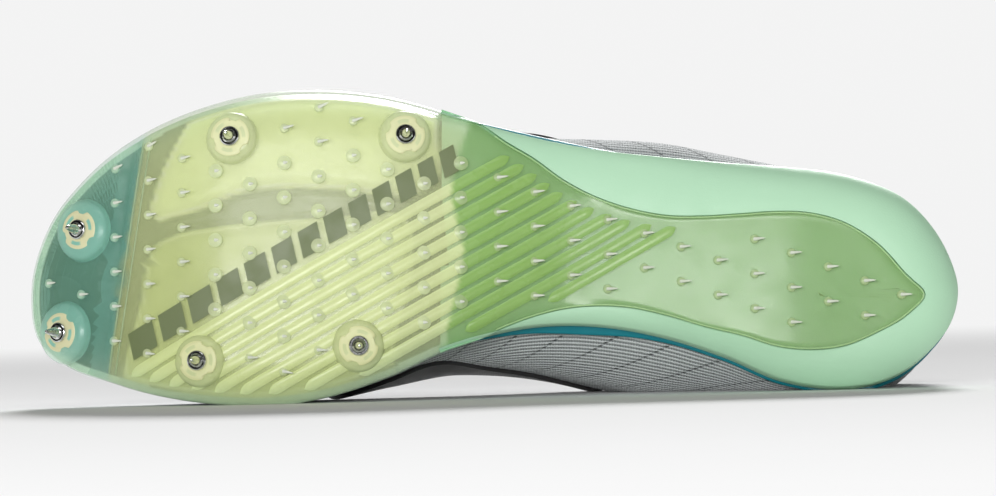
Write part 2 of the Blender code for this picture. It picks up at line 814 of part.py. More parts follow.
def board_edge():
    share = FOOT_EDGE[:, 0] / LENGTH
    lateral = smooth_value(BOARD_FLARE, 1, share)
    medial = smooth_value(BOARD_FLARE, 2, share)
    return grown(FOOT_EDGE, BALL_WIDTH * np.where(LATERAL_SIDE, lateral, medial) - BOARD_INSET)


def make_board():
    margin = grown(FOOT_EDGE, -LASTING_MARGIN)
    loops = [board_edge(), grown(FOOT_EDGE, -FEATHER_INSET), margin, towards_spine(margin, 0.6)]
    below = [laid_flat(at_height(loop, board_underside(loop[:, 0]))) for loop in (loops[-1], loops[0])]
    above = [laid_flat(at_height(loop, board_top(loop[:, 0]))) for loop in loops]
    return ring_solid("board", below + above, "board")


def make_insole():
    """The insole lies on the upper's lasting margin and fills the room inside it."""
    seat = BOARD_SEAT + UPPER_WALL + BOARD_SEAT
    inner = LASTING_MARGIN + 4 * GAP
    edge = grown(FOOT_EDGE, -INSOLE_INSET)
    step = grown(FOOT_EDGE, -inner)
    filled = towards_spine(step, 0.6)
    rings = [at_height(filled, board_top(filled[:, 0]) + 3 * GAP)]
    rings.append(at_height(step, board_top(step[:, 0]) + 3 * GAP))
    rings.append(at_height(step, board_top(step[:, 0]) + seat))
    margin = grown(FOOT_EDGE, -LASTING_MARGIN)
    feather = grown(FOOT_EDGE, -FEATHER_INSET)
    fold = FEATHER_INSET + UPPER_WALL
    part = (INSOLE_INSET - fold) / (LASTING_MARGIN - fold)
    bed = board_top(feather[:, 0]) * (1 - part) + board_top(margin[:, 0]) * part
    rings.append(at_height(margin, board_top(margin[:, 0]) + seat))
    rings.append(at_height(edge, bed + seat))
    rings.append(at_height(edge, bed + seat + INSOLE_THICKNESS))
    middle = towards_spine(edge, 0.5)
    rings.append(at_height(middle, board_top(middle[:, 0]) + seat + 0.75 * INSOLE_THICKNESS))
    return ring_solid("insole", rings, "insole")


def by_side(rows, lateral_column, medial_column, share):
    lateral = smooth_value(rows, lateral_column, share)
    medial = smooth_value(rows, medial_column, share)
    return np.where(LATERAL_SIDE, lateral, medial)


def bezier(ends, t):
    a, b, c, d = ends
    return (1 - t) ** 3 * a + 3 * (1 - t) ** 2 * t * b + 3 * (1 - t) * t**2 * c + t**3 * d


def upper_lines():
    """Feather, widest and edge points of the lines that climb the upper, and the slope at the edge."""
    share = FOOT_EDGE[:, 0] / LENGTH
    floor = board_top(FOOT_EDGE[:, 0]) + BOARD_SEAT
    feather_plan = grown(FOOT_EDGE, -FEATHER_INSET)
    feather = at_height(feather_plan, board_top(feather_plan[:, 0]) + BOARD_SEAT)
    widest_plan = grown(FOOT_EDGE, BALL_WIDTH * by_side(UPPER_BULGE, 1, 2, share))
    widest = at_height(widest_plan, floor + HEEL_COLLAR * by_side(UPPER_BULGE, 3, 4, share))
    edge_x = LENGTH * smooth_value(UPPER_EDGE, 1, share)
    edge_y = BALL_WIDTH * by_side(UPPER_EDGE, 2, 3, share)
    edge_z = board_top(edge_x) + HEEL_COLLAR * smooth_value(UPPER_EDGE, 4, share)
    slope = np.radians(smooth_value(UPPER_EDGE, 5, share))
    return feather, widest, np.column_stack([edge_x, edge_y, edge_z]), slope


def upper_skin(heights):
    """Outer points of the upper. Row i, column j lies at heights[i, j] along line i."""
    feather, widest, edge, slope = upper_lines()
    flank = widest - feather
    level = flank * (1, 1, 0)
    rise = flank * (0, 0, 1)
    low = (feather, feather + 0.5 * level + 0.25 * rise, widest - 0.45 * rise, widest)
    top = edge - widest
    inward = top * (1, 1, 0)
    inward /= np.linalg.norm(inward, axis=1, keepdims=True)
    lean = inward * np.cos(slope)[:, None] + np.outer(np.sin(slope), (0, 0, 1))
    length = np.linalg.norm(top, axis=1, keepdims=True)
    high = (widest, widest + 0.5 * top * (0, 0, 1), edge - 0.38 * length * lean, edge)
    t = heights[..., None]
    below = bezier([end[:, None] for end in low], t / BULGE_TURN)
    above = bezier([end[:, None] for end in high], (t - BULGE_TURN) / (1 - BULGE_TURN))
    return laid_flat(np.where(t < BULGE_TURN, below, above))


def grid_normals(grid):
    """Outward normals of a grid whose rows run round the shoe and whose columns climb it."""
    around = np.roll(grid, -1, axis=0) - np.roll(grid, 1, axis=0)
    up = np.gradient(grid, axis=1)
    normal = np.cross(up, around)
    return normal / np.linalg.norm(normal, axis=2, keepdims=True)


def all_lines(heights):
    return np.broadcast_to(np.asarray(heights, float), (len(FOOT_EDGE), len(heights)))


def make_upper():
    """One shell, open at collar and throat, whose foot turns under as a lasting margin."""
    skin = upper_skin(all_lines(UPPER_HEIGHTS))
    turned_in = grown(FOOT_EDGE, -LASTING_MARGIN)
    margin = at_height(turned_in, board_top(turned_in[:, 0]) + BOARD_SEAT)[:, None]
    outer = np.concatenate([margin, skin], axis=1)
    normals = grid_normals(outer)
    inner = outer - UPPER_WALL * normals
    inner[:, 0] = outer[:, 0] + (0, 0, UPPER_WALL)
    fold = grown(FOOT_EDGE, -FEATHER_INSET - UPPER_WALL)
    inner[:, 1] = at_height(fold, outer[:, 1, 2] + UPPER_WALL)
    return sheet_solid("upper", inner, outer, "upper", closed=True)


def overlay_lines():
    """The lines that the overlay covers, in order from the lateral to the medial collar corner."""
    share = FOOT_EDGE[:, 0] / LENGTH
    return np.flatnonzero(share >= OVERLAY_START)


def make_overlay():
    """The throat overlay, a step of its own thickness over the upper's skin."""
    share = FOOT_EDGE[:, 0] / LENGTH
    start = smooth_value(OVERLAY_EDGE, 1, share)[:, None]
    heights = np.clip(all_lines(UPPER_HEIGHTS), start, OVERLAY_TOP)
    skin = upper_skin(heights)
    known = grid_normals(upper_skin(all_lines(UPPER_HEIGHTS)))
    normals = np.empty_like(skin)
    for line, axis in np.ndindex(len(skin), 3):
        normals[line, :, axis] = np.interp(heights[line], UPPER_HEIGHTS, known[line, :, axis])
    lines = overlay_lines()
    low = (skin + OVERLAY_SEAT * normals)[lines]
    high = (skin + (OVERLAY_SEAT + OVERLAY_THICKNESS) * normals)[lines]
    return sheet_solid("throat_overlay", low, high, "overlay")


def throat_sections():
    """Matching lateral and medial lines of the throat, from its toe end up to the collar."""
    lines = overlay_lines()
    half = len(lines) // 2
    return lines[:half][::-1], lines[len(lines) - half:]


def throat_rows(height, offset):
    """Lateral and medial points beside the throat, and their normals, moved out by an offset."""
    heights = all_lines((height - 0.02, height))
    skin = upper_skin(heights)
    normals = grid_normals(skin)[:, 1]
    points = skin[:, 1] + offset * normals
    lateral, medial = throat_sections()
    return points[lateral], points[medial]


def arched(lateral, medial, part, rise):
    """A point part of the way over the throat, on an arch that meets its sides at their slope."""
    middle = lateral + (medial - lateral) * part
    width = np.linalg.norm(medial - lateral, axis=-1)
    lift = width * 0.155 * 4 * part * (1 - part) + rise * (1 - (2 * part - 1) ** 4)
    return middle + np.multiply.outer(lift, np.array((0, 0, 1.0)))


def make_tongue():
    depth = UPPER_WALL + TONGUE_CLEARANCE
    outer_lateral, outer_medial = throat_rows(TONGUE_OVERLAP, -depth)
    lateral, medial = throat_rows(1.0, -depth)
    columns = [outer_lateral]
    for part in (0.0, 0.14, 0.32, 0.5, 0.68, 0.86, 1.0):
        columns.append(arched(lateral, medial, part, TONGUE_RISE))
    columns.append(outer_medial)
    top = np.stack(columns, axis=1)[::2]
    collar = top[-1:] + (TONGUE_TOP[0], 0, TONGUE_TOP[1])
    collar = collar + TONGUE_TAPER * (collar.mean(axis=1, keepdims=True) - collar) * (0, 1, 0)
    top = np.concatenate([top, collar])
    across = np.gradient(top, axis=1)
    along = np.gradient(top, axis=0)
    normal = np.cross(across, along)
    normal /= np.linalg.norm(normal, axis=2, keepdims=True)
    normal *= np.sign(normal[..., 2:])
    return sheet_solid("tongue", top - TONGUE_THICKNESS * normal, top, "tongue")


def top_of(objects):
    """A function that gives the height of the highest of these objects over a plan point."""
    trees = []
    for obj in objects:
        corners = [vertex.co.copy() for vertex in obj.data.vertices]
        faces = [tuple(face.vertices) for face in obj.data.polygons]
        trees.append(BVHTree.FromPolygons(corners, faces))

    def height(point):
        hits = [tree.ray_cast(Vector((point[0], point[1], 1.0)), Vector((0, 0, -1)))[0] for tree in trees]
        return max(hit[2] for hit in hits if hit is not None)

    return height


def taut(distance, height):
    """The lowest line without a hollow that lies on or over these heights, as a taut lace does."""
    kept = []
    for spot in zip(distance, height):
        while len(kept) > 1:
            rise = (kept[-1][1] - kept[-2][1]) * (spot[0] - kept[-2][0])
            if rise > (spot[1] - kept[-2][1]) * (kept[-1][0] - kept[-2][0]):
                break
            kept.pop()
        kept.append(spot)
    return np.interp(distance, [spot[0] for spot in kept], [spot[1] for spot in kept])


def lace_band(name, start, end, height, kind):
    """A flat band drawn tight over the throat from one eyelet to another."""
    along = (end - start)[:2] / np.linalg.norm((end - start)[:2])
    side = np.array((-along[1], along[0])) * LACE_WIDTH / 2
    first = start[:2] - along * LACE_END
    last = end[:2] + along * LACE_END
    parts = np.linspace(0, 1, LACE_SECTIONS)
    lines = []
    for across in (-1, 0, 1):
        path = first + np.outer(parts, last - first) + across * side
        lines.append(at_height(path, taut(parts, [height(point) for point in path]) + LACE_CLEARANCE))
    base = np.stack(lines, axis=1)
    return sheet_solid(name, base, base + (0, 0, LACE_THICKNESS), kind)


def make_lace(objects):
    """Crossed runs from eyelet to eyelet, joined where they cross and where they turn."""
    height = top_of(objects)
    lateral, medial = throat_rows(EYELET_LINE, 0)
    rows = np.linspace(LACE_FIRST_ROW, len(lateral) - LACE_LAST_ROW, LACE_RUNS + 1).round().astype(int)
    lace = lace_band("lace", lateral[rows[0]], medial[rows[0]], height, "lace")
    for run in range(LACE_RUNS):
        low, high = rows[run], rows[run + 1]
        out = lace_band(f"lace_out_{run}", lateral[low], medial[high], height, None)
        back = lace_band(f"lace_back_{run}", medial[low], lateral[high], height, None)
        cut(lace, out, "UNION", "MANIFOLD")
        cut(lace, back, "UNION", "MANIFOLD")
    return lace


def lay_down():
    """Parents every piece to one empty that lays the shoe on its medial side over the origin."""
    rest = bpy.data.objects.new("resting_pose", None)
    bpy.context.collection.objects.link(rest)
    turn = rest_turn().to_4x4()
    pieces = [obj for obj in bpy.data.objects if obj.type == "MESH"]
    for obj in pieces:
        obj.parent = rest
    rest.matrix_world = turn
    bpy.context.view_layer.update()
    shown = [obj for obj in pieces if not obj.hide_render]
    graph = bpy.context.evaluated_depsgraph_get()
    points = np.array([tuple(turn @ vertex.co) for obj in shown
                       for vertex in obj.evaluated_get(graph).data.vertices])
    middle = (points.min(axis=0) + points.max(axis=0)) / 2
    rest.matrix_world = Matrix.Translation((-middle[0], -middle[1], AXIS_TO_FLOOR)) @ turn


def main():
    clear_scene()
    make_plate()
    make_spikes()
    make_receptacles()
    make_pod("air_pod_lateral", LATERAL_POD)
    make_pod("air_pod_medial", MEDIAL_POD)
    make_foam()
    make_board()
    make_insole()
    make_lace((make_upper(), make_overlay(), make_tongue()))
    lay_down()


main()
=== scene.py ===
"""Looks of the left track spike shoe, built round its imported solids.

Every piece is shaped in the shoe's own frame: x runs from the heel to the toe, y to the lateral
side and z up from the ground plane of the ball. world() then carries it to where the shoe lies.
Sizes are in metres. The tables hold shares of the named sizes that their headings name.
"""

import math

import bmesh
import bpy
import numpy as np
from mathutils import Matrix, Vector
from mathutils.bvhtree import BVHTree

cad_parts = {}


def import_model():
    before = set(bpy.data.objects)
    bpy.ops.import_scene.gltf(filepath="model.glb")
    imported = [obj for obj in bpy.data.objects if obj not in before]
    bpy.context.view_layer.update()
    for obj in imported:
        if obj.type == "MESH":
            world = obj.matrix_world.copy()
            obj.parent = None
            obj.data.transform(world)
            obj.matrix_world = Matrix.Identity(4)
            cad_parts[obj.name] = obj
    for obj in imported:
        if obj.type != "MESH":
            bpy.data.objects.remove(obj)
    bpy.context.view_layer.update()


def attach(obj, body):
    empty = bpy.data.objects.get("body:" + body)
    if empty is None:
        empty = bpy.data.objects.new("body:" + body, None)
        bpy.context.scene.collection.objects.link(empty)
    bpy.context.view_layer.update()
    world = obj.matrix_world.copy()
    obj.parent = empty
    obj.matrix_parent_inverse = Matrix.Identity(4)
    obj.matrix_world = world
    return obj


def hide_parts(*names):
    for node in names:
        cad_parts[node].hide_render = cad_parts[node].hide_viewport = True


def srgb(red, green, blue):
    """A linear colour from its display values."""
    parts = np.array((red, green, blue)) / 255
    return tuple(np.where(parts < 0.04045, parts / 12.92, ((parts + 0.055) / 1.055) ** 2.4))


# Driving sizes of the whole shoe
LENGTH = 0.285
BALL_WIDTH = 0.0964
TOE_SPRING = 0.030
SOLE_STACK = 0.0175
HEEL_COLLAR = 0.058
REST_TILT = math.radians(6.5)
REST_ROLL = math.radians(1.4)
AXIS_TO_FLOOR = 0.0421
GAP = 0.0003

# Layers of the sole
PLATE_THICKNESS = 0.0019
BOARD_THICKNESS = 0.0016
BOARD_SEAT = 0.0005
BOARD_INSET = 0.0010
FOAM_INSET = 0.0009
INSOLE_INSET = 0.0068
TOE_FILL_START = 0.8933 * LENGTH
TOE_FILL_SLANT = -0.148
TOE_FILL_RAMP = 0.006
FOAM_FRONT = 0.5449 * LENGTH

# Ribs across the plate, wider and flatter than the solid's plain bars
RIB_ANGLE = math.radians(30)
RIB_START = (0.8990 * LENGTH, -0.3838 * BALL_WIDTH)
RIB_PITCH = 0.0044
RIB_COUNT = 11
RIB_WIDTH = 0.0033
RIB_HEIGHT = 0.0006
RIB_MARGIN = 0.0032

# Spikes and what holds them
SPIKE_LENGTH = 0.0064
SPIKE_RADIUS = 0.0021
SPIKE_TIP_RADIUS = 0.0004
SPIKE_FLANGE_RADIUS = 0.00305
SPIKE_FLANGE_THICKNESS = 0.0010
STUD_RADIUS = 0.0016
STUD_LENGTH = 0.0030
BOSS_HEIGHT = 0.0023

# Upper, overlay, tongue and lace
UPPER_WALL = 0.0017
FEATHER_INSET = 0.0022
LASTING_MARGIN = 0.0105
OVERLAY_THICKNESS = 0.0007
OVERLAY_SEAT = 0.0007
TONGUE_THICKNESS = 0.0026
TONGUE_OVERLAP = 0.86
TONGUE_RISE = 0.0012
TONGUE_TOP = (-0.0140, 0.0105)
TONGUE_TAPER = 0.20
TONGUE_CLEARANCE = 0.0010
LACE_WIDTH = 0.0050
LACE_THICKNESS = 0.0010
LACE_SECTIONS = 61
LACE_RUNS = 5
LACE_FIRST_ROW = 3
LACE_LAST_ROW = 2
EYELET_LINE = 0.955
EYELET_RADIUS = 0.0022
EYELET_SLOPE = 0.45
EYELET_STEPS = 24

# How finely the outlines are divided
SIDE_STEPS = 240
ROUND_STEPS = 64

# Plan of the sole: station / LENGTH, lateral edge / BALL_WIDTH, medial edge / BALL_WIDTH
FOOT_PLAN = (
    (0.0, -0.119, -0.119), (0.012, 0.012, -0.243), (0.028, 0.092, -0.301), (0.061, 0.188, -0.381),
    (0.093, 0.233, -0.419), (0.126, 0.261, -0.432), (0.191, 0.284, -0.409), (0.255, 0.297, -0.332),
    (0.32, 0.315, -0.272), (0.386, 0.336, -0.239), (0.449, 0.368, -0.239), (0.519, 0.415, -0.281),
    (0.547, 0.436, -0.308), (0.614, 0.49, -0.399), (0.677, 0.511, -0.461), (0.742, 0.505, -0.489),
    (0.807, 0.465, -0.478), (0.872, 0.39, -0.442), (0.921, 0.298, -0.394), (0.953, 0.21, -0.357),
    (0.97, 0.152, -0.325), (0.986, 0.068, -0.284), (1.0, -0.094, -0.094),
)

# Plan of the plate behind the ball, with the same columns
TAIL_PLAN = (
    (0.041, -0.137, -0.137), (0.059, -0.081, -0.2), (0.092, 0.024, -0.258), (0.128, 0.09, -0.302),
    (0.164, 0.118, -0.314), (0.198, 0.122, -0.305), (0.236, 0.115, -0.27), (0.276, 0.109, -0.241),
    (0.317, 0.112, -0.204), (0.358, 0.137, -0.178), (0.393, 0.174, -0.173), (0.427, 0.228, -0.183),
    (0.458, 0.294, -0.207), (0.487, 0.344, -0.239), (0.519, 0.407, -0.28),
)
PLATE_JOIN = 0.54

# Side view of the sole: station / LENGTH, underside / TOE_SPRING, thickness / SOLE_STACK
SIDE_PROFILE = (
    (0.0, 0.217, 1.11), (0.035, 0.193, 1.14), (0.105, 0.167, 1.17), (0.21, 0.133, 1.14),
    (0.316, 0.2, 0.89), (0.421, 0.233, 0.73), (0.526, 0.1, 0.86), (0.614, 0.017, 0.95),
    (0.702, 0.0, 1.0), (0.79, 0.083, 1.0), (0.86, 0.267, 0.8), (0.912, 0.467, 0.57),
    (0.954, 0.683, 0.43), (0.989, 0.917, 0.37), (1.0, 1.0, 0.34),
)

# Rounded edge of the plate: station / LENGTH, width / BALL_WIDTH, height / SOLE_STACK
PLATE_ROLL = (
    (0.0, 0.04, 0.03), (0.42, 0.04, 0.03), (0.52, 0.1, 0.22), (0.614, 0.145, 0.36), (0.8, 0.145, 0.38),
    (0.9, 0.13, 0.24), (0.954, 0.11, 0.16), (1.0, 0.09, 0.1),
)

# Rounded edge of the foam: station / LENGTH, lateral and medial width / BALL_WIDTH, height / SOLE_STACK
FOAM_ROLL = (
    (0.0, 0.16, 0.16, 0.72), (0.2, 0.17, 0.145, 0.66), (0.32, 0.2, 0.1, 0.42), (0.42, 0.14, 0.06, 0.3),
    (0.52, 0.06, 0.05, 0.24), (0.6, 0.05, 0.05, 0.2),
)

# How far the board stands out at the waist: station / LENGTH, lateral and medial / BALL_WIDTH
BOARD_FLARE = (
    (0.0, 0.0, 0.0), (0.06, 0.0, 0.009), (0.2, 0.002, 0.009), (0.33, 0.008, 0.014),
    (0.405, 0.017, 0.027), (0.48, 0.021, 0.013), (0.54, 0.017, 0.0), (0.61, 0.002, 0.0),
    (1.0, 0.0, 0.0),
)

# Widest line of the upper: station / LENGTH, overhang past the sole's plan / BALL_WIDTH on the
# lateral and the medial side, height above the board / HEEL_COLLAR on the same sides
UPPER_BULGE = (
    (0.0, -0.025, -0.025, 0.4, 0.4), (0.06, -0.01, -0.002, 0.38, 0.42),
    (0.126, 0.01, 0.014, 0.32, 0.47), (0.191, 0.03, 0.036, 0.28, 0.5), (0.255, 0.052, 0.094, 0.26, 0.5),
    (0.32, 0.068, 0.146, 0.26, 0.51), (0.386, 0.058, 0.146, 0.27, 0.5),
    (0.449, 0.03, 0.116, 0.28, 0.47), (0.519, 0.0, 0.062, 0.28, 0.42),
    (0.56, -0.018, 0.026, 0.28, 0.38), (0.614, -0.03, -0.012, 0.27, 0.33),
    (0.7, -0.034, -0.03, 0.24, 0.27), (0.8, -0.036, -0.034, 0.2, 0.22),
    (0.9, -0.036, -0.036, 0.17, 0.17), (1.0, -0.034, -0.034, 0.14, 0.14),
)

# Opening of the upper: station on the sole / LENGTH, place of the edge / LENGTH, its lateral and
# medial distance / BALL_WIDTH, height above the board / HEEL_COLLAR, slope of the wall there in degrees
UPPER_EDGE = (
    (0.0, 0.014, -0.093, -0.093, 1.0, 82), (0.042, 0.032, 0.031, -0.218, 0.985, 82),
    (0.105, 0.084, 0.156, -0.322, 0.92, 84), (0.175, 0.154, 0.228, -0.389, 0.825, 84),
    (0.246, 0.232, 0.259, -0.417, 0.79, 84), (0.316, 0.309, 0.259, -0.41, 0.88, 78),
    (0.365, 0.351, 0.239, -0.379, 1.02, 64), (0.439, 0.4, 0.187, -0.28, 1.05, 45),
    (0.526, 0.474, 0.15, -0.207, 1.01, 37), (0.614, 0.537, 0.13, -0.171, 0.965, 33),
    (0.702, 0.589, 0.114, -0.15, 0.925, 30), (0.789, 0.632, 0.083, -0.119, 0.89, 24),
    (0.895, 0.653, 0.036, -0.067, 0.865, 17), (1.0, 0.66, -0.016, -0.016, 0.85, 14),
)
BULGE_TURN = 0.42

# Lower edge of the overlay: station / LENGTH, height up the wall from 0 at the sole to 1 at the opening
OVERLAY_EDGE = (
    (0.352, 0.93), (0.366, 0.78), (0.39, 0.66), (0.44, 0.46), (0.51, 0.34), (0.59, 0.15), (0.607, 0.2),
    (0.641, 0.36), (0.675, 0.51), (0.71, 0.64), (0.746, 0.74), (0.79, 0.8), (0.88, 0.84), (1.0, 0.84),
)
OVERLAY_START = 0.385
OVERLAY_TOP = 0.985

# Plan of the two pods: station and lateral distance, as shares of LENGTH and BALL_WIDTH
LATERAL_POD = (
    (0.562, 0.62), (0.56, 0.5), (0.558, 0.36), (0.559, 0.225), (0.572, 0.189), (0.668, 0.189),
    (0.737, 0.192), (0.771, 0.178), (0.805, 0.137), (0.845, 0.106), (0.86, 0.098), (0.869, 0.131),
    (0.865, 0.192), (0.832, 0.402), (0.808, 0.52), (0.79, 0.62),
)
MEDIAL_POD = (
    (0.606, -0.62), (0.605, -0.5), (0.603, -0.28), (0.593, -0.147), (0.586, -0.045), (0.59, 0.095),
    (0.602, 0.118), (0.668, 0.109), (0.754, 0.092), (0.805, 0.077), (0.84, 0.06), (0.866, 0.02),
    (0.873, -0.032), (0.878, -0.132), (0.888, -0.25), (0.899, -0.378), (0.904, -0.5), (0.908, -0.62),
)

# Spikes: station / LENGTH, lateral distance / BALL_WIDTH, radius of the boss in metres
SPIKES = (
    (0.942, 0.08, 0.0093), (0.962, -0.243, 0.0093), (0.78, 0.354, 0.0078), (0.595, 0.358, 0.0078),
    (0.813, -0.35, 0.0078), (0.644, -0.306, 0.0078),
)
# Where the shoe's own origin lies when the shoe rests
REST_PLACE = (0.1432237, -0.0428929, 0.0421)

# How finely the looks are divided
FINE_HEIGHTS = tuple(step / 48 for step in range(49))
SKIN_PARTS = (0.0, 0.01, 0.02, 0.035, 0.05, 0.08, 0.11, 0.14, 0.2, 0.28, 0.36, 0.45, 0.55, 0.65,
              0.75, 0.85, 0.93)
CUSHION_PARTS = tuple(0.012 + 0.958 * step / 56 for step in range(57))
FLANK_PARTS = (0.0, 0.015, 0.04, 0.08, 0.13, 0.2, 0.3, 0.42, 0.55, 0.7, 0.85, 1.0)
BAR_STEP = 0.0012
LINE_RATIO = SIDE_STEPS / 32
OVERLAY_LIFT = 0.0001
OVERLAY_LATERAL_START = 0.36
BINDING_END = 0.37

# Relief of the sole
TOE_LINE_SHIFTS = (0.0, -0.0022)
BEAD_END = 0.50
PIN_START = 0.0188
PIN_PITCH = 0.01115
PIN_PITCH_FRONT = 0.01043
PIN_COLUMNS = 25
PIN_ROWS = (-16, 8)
PIN_ROW_START = -0.0134
PIN_ROW_PITCH = 0.01058
PIN_SHIFT = 0.0042
PIN_MARGIN = 0.0045
PIN_RAKE = 1.25
PIN_LENGTH = 0.0042
PIN_LENGTH_SHORT = 0.0016
PIN_PAD = 0.0014
PIN_PAD_WIDE = 0.0022
PIN_FRONT_COLUMN = 14
RIBBED_ZONE = (0.145, 0.235, 0.030)
POD_MARGIN = 0.0022
POD_SHOULDER = 0.0050
POD_ROUND = 0.0026
POD_SINK = 0.0016
CONTOUR_DEPTH = 0.0012
CONTOUR_WIDTH = 0.0005
CONTOUR_LIGHTER = 0.3
CUSHION_START = 0.150
DASH_START = 0.002
DASH_COUNT = 20
DASH_WIDE = 0.0085
DASH_NARROW = 0.0030
DASH_GAP = 0.0022
DASH_LOW = 0.0036
DASH_HIGH = 0.0115
DASH_LIFT = 0.00015
DASH_SLANT = 0.30

# Rear edge of the forefoot part of the plate: lateral distance and station
REAR_EDGE = (
    (-0.031, 0.1567), (-0.024, 0.1567), (-0.01, 0.1533), (0.0, 0.1515), (0.005, 0.153), (0.015, 0.1552),
    (0.024, 0.1552), (0.038, 0.1502),
)

# Bosses round the spikes: radius as a share of the boss's, height as a share of BOSS_HEIGHT
BOSS_ROWS = (
    (1.04, -0.001 / BOSS_HEIGHT), (1.0, 0.0), (0.985, 0.16), (0.955, 0.34), (0.9, 0.54), (0.82, 0.72),
    (0.72, 0.86), (0.6, 0.95), (0.47, 1.0), (0.42, 0.97), (0.405, 0.8), (0.4, 0.55),
)

# Inserts round the spikes: radius as a share of the insert's, height as a share of the boss's
WASHER_ROWS = (
    (1.0, 0.78), (1.0, 0.93), (0.97, 0.99), (0.9, 1.02), (0.82, 1.05), (0.8, 1.05), (0.64, 1.07),
    (0.61, 1.07), (0.5, 1.07), (0.4, 1.02), (0.34, 0.7),
)
WASHER_RADIUS = 0.0060
WASHER_TURN = 0.7
WASHER_FAINT_BEHIND = 0.9
WASHER_FAINTNESS = (0.1, 0.55)
WASHER_SLOT = (0.62, 0.81)

# Knit of the upper
SEAM_PITCH = 0.0155
SEAM_SLANT = -0.9
SEAM_CURVE = -6.0
SEAM_DOT_PITCH = 0.0015

# Colours
TOE_TINT = srgb(140, 204, 184)
# Forefoot plate tints: the lateral one is lighter and the medial one darker, as painted light from above
FORE_LIT_LATERAL = srgb(222, 232, 178)
FORE_SHADED_MEDIAL = srgb(212, 222, 156)
TAIL_TINT = srgb(146, 184, 98)
RIM_TINT = srgb(206, 232, 204)
LINE_TINT = srgb(176, 200, 160)
BEAD_TINT = srgb(186, 224, 164)
# Pod tints: the pods' own pale yellow-green, lighter on the lateral pod and darker on the medial pod as
# painted light from above
POD_LIT_LATERAL_TINT = srgb(240, 246, 190)
POD_SHADED_MEDIAL_TINT = srgb(200, 210, 132)
GROOVE_TINT = srgb(52, 74, 34)
PAD_MILK = (0.34, 0.38, 0.26)
NEEDLE_TINT = srgb(236, 240, 226)
WASHER_COLOUR = srgb(216, 208, 164)
DASH_COLOUR = srgb(104, 116, 74)
FOAM_COLOUR = srgb(180, 222, 188)
BOARD_COLOUR = srgb(0, 120, 134)
FILM_DARK = (0.0035, 0.0030, 0.0033)
FILM_LIGHT = (0.016, 0.014, 0.015)
STEEL_BRIGHT = (0.78, 0.79, 0.78)
STEEL_DULL = (0.55, 0.56, 0.55)
FLOOR_DARK = (0.75, 0.75, 0.75)
FLOOR_LIGHT = (0.78, 0.78, 0.78)
RIB_LIGHTER = 1.30
ZONE_BLUR = 0.0012
RIM_SPREAD = 0.0035
RIM_STRENGTH = 0.75
BOSS_LIGHTER = 1.04
PLATE_ALPHA = 0.32
RELIEF_ALPHA = 0.6

# Camera and lights
IMAGE_CENTRE = (0.1413, 0.0002, 0.0)
CAMERA_Y = -1.84
FOCAL_LENGTH = 214.4
FLOOR_REACH = 9.0
FLOOR_FRONT = -8.0
SWEEP_START = 4.4
SWEEP_RADIUS = 1.5
SWEEP_STEPS = 24
WALL_TOP = 3.0
SKY_STRENGTH = 0.08
SUN_STRENGTH = 4.0
SUN_SPREAD = math.radians(16)
SUN_TURN = (math.radians(-56), 0, math.radians(-6))
FAR_GLOW = 0.90
GLOW_START = 0.5
GLOW_FULL = 1.3

# Soft lights: name, place, aim, width, depth and power
SOFT_LIGHTS = (
    ("front", (-0.4, -2.3, 0.34), (0, 0, 0.05), 1.5, 0.5, 36.0),
    ("top", (0.0, -0.9, 1.4), (0, 0, 0.05), 1.2, 0.4, 5.0),
)


def unit(vectors):
    return vectors / np.linalg.norm(vectors, axis=-1, keepdims=True)


def smooth_value(rows, column, share):
    """A column of a table at these shares of the length, smooth between the rows."""
    stations = np.array([row[0] for row in rows])
    values = np.array([row[column] for row in rows])
    slopes = np.gradient(values, stations)
    share = np.clip(share, stations[0], stations[-1])
    cell = np.clip(np.searchsorted(stations, share, side="right") - 1, 0, len(rows) - 2)
    width = stations[cell + 1] - stations[cell]
    t = (share - stations[cell]) / width
    start = (2 * t**3 - 3 * t**2 + 1) * values[cell] + (t**3 - 2 * t**2 + t) * width * slopes[cell]
    end = (3 * t**2 - 2 * t**3) * values[cell + 1] + (t**3 - t**2) * width * slopes[cell + 1]
    return start + end


def closed_spline(knots, steps):
    """A smooth closed curve through the knots, with this many steps from each to the next."""
    ahead = np.roll(knots, -1, axis=0) - knots
    span = np.linalg.norm(ahead, axis=1, keepdims=True)
    behind = np.roll(ahead, 1, axis=0)
    span_behind = np.roll(span, 1, axis=0)
    slope = (ahead / span * span_behind + behind / span_behind * span) / (span + span_behind)
    t = np.linspace(0, 1, steps, endpoint=False)[None, :, None]
    start = (2 * t**3 - 3 * t**2 + 1) * knots[:, None] + (t**3 - 2 * t**2 + t) * (slope * span)[:, None]
    end_knots = np.roll(knots, -1, axis=0)[:, None]
    end_slopes = (np.roll(slope, -1, axis=0) * span)[:, None]
    end = (3 * t**2 - 2 * t**3) * end_knots + (t**3 - t**2) * end_slopes
    return (start + end).reshape(-1, 2)


def evenly(path, count):
    """Points spaced evenly along an open path, from its first point to just before its last."""
    length = np.concatenate([[0], np.cumsum(np.linalg.norm(np.diff(path, axis=0), axis=1))])
    wanted = np.linspace(0, length[-1], count, endpoint=False)
    return np.column_stack([np.interp(wanted, length, path[:, axis]) for axis in range(2)])


def plan_loop(rows):
    """The closed plan of a table: heel tip, lateral side, toe tip, and the medial side back."""
    lateral = [(row[0] * LENGTH, row[1] * BALL_WIDTH) for row in rows]
    medial = [(row[0] * LENGTH, row[2] * BALL_WIDTH) for row in rows[-2:0:-1]]
    steps = 40
    curve = closed_spline(np.array(lateral + medial), steps)
    toe = (len(rows) - 1) * steps
    out = evenly(curve[: toe + 1], SIDE_STEPS)
    back = evenly(np.vstack([curve[toe:], curve[:1]]), SIDE_STEPS)
    return np.vstack([out, back])


def outward(loop):
    """Unit normals of a plan loop, pointing away from the shoe."""
    along = unit(np.roll(loop, -1, axis=0) - np.roll(loop, 1, axis=0))
    return np.column_stack([-along[:, 1], along[:, 0]])


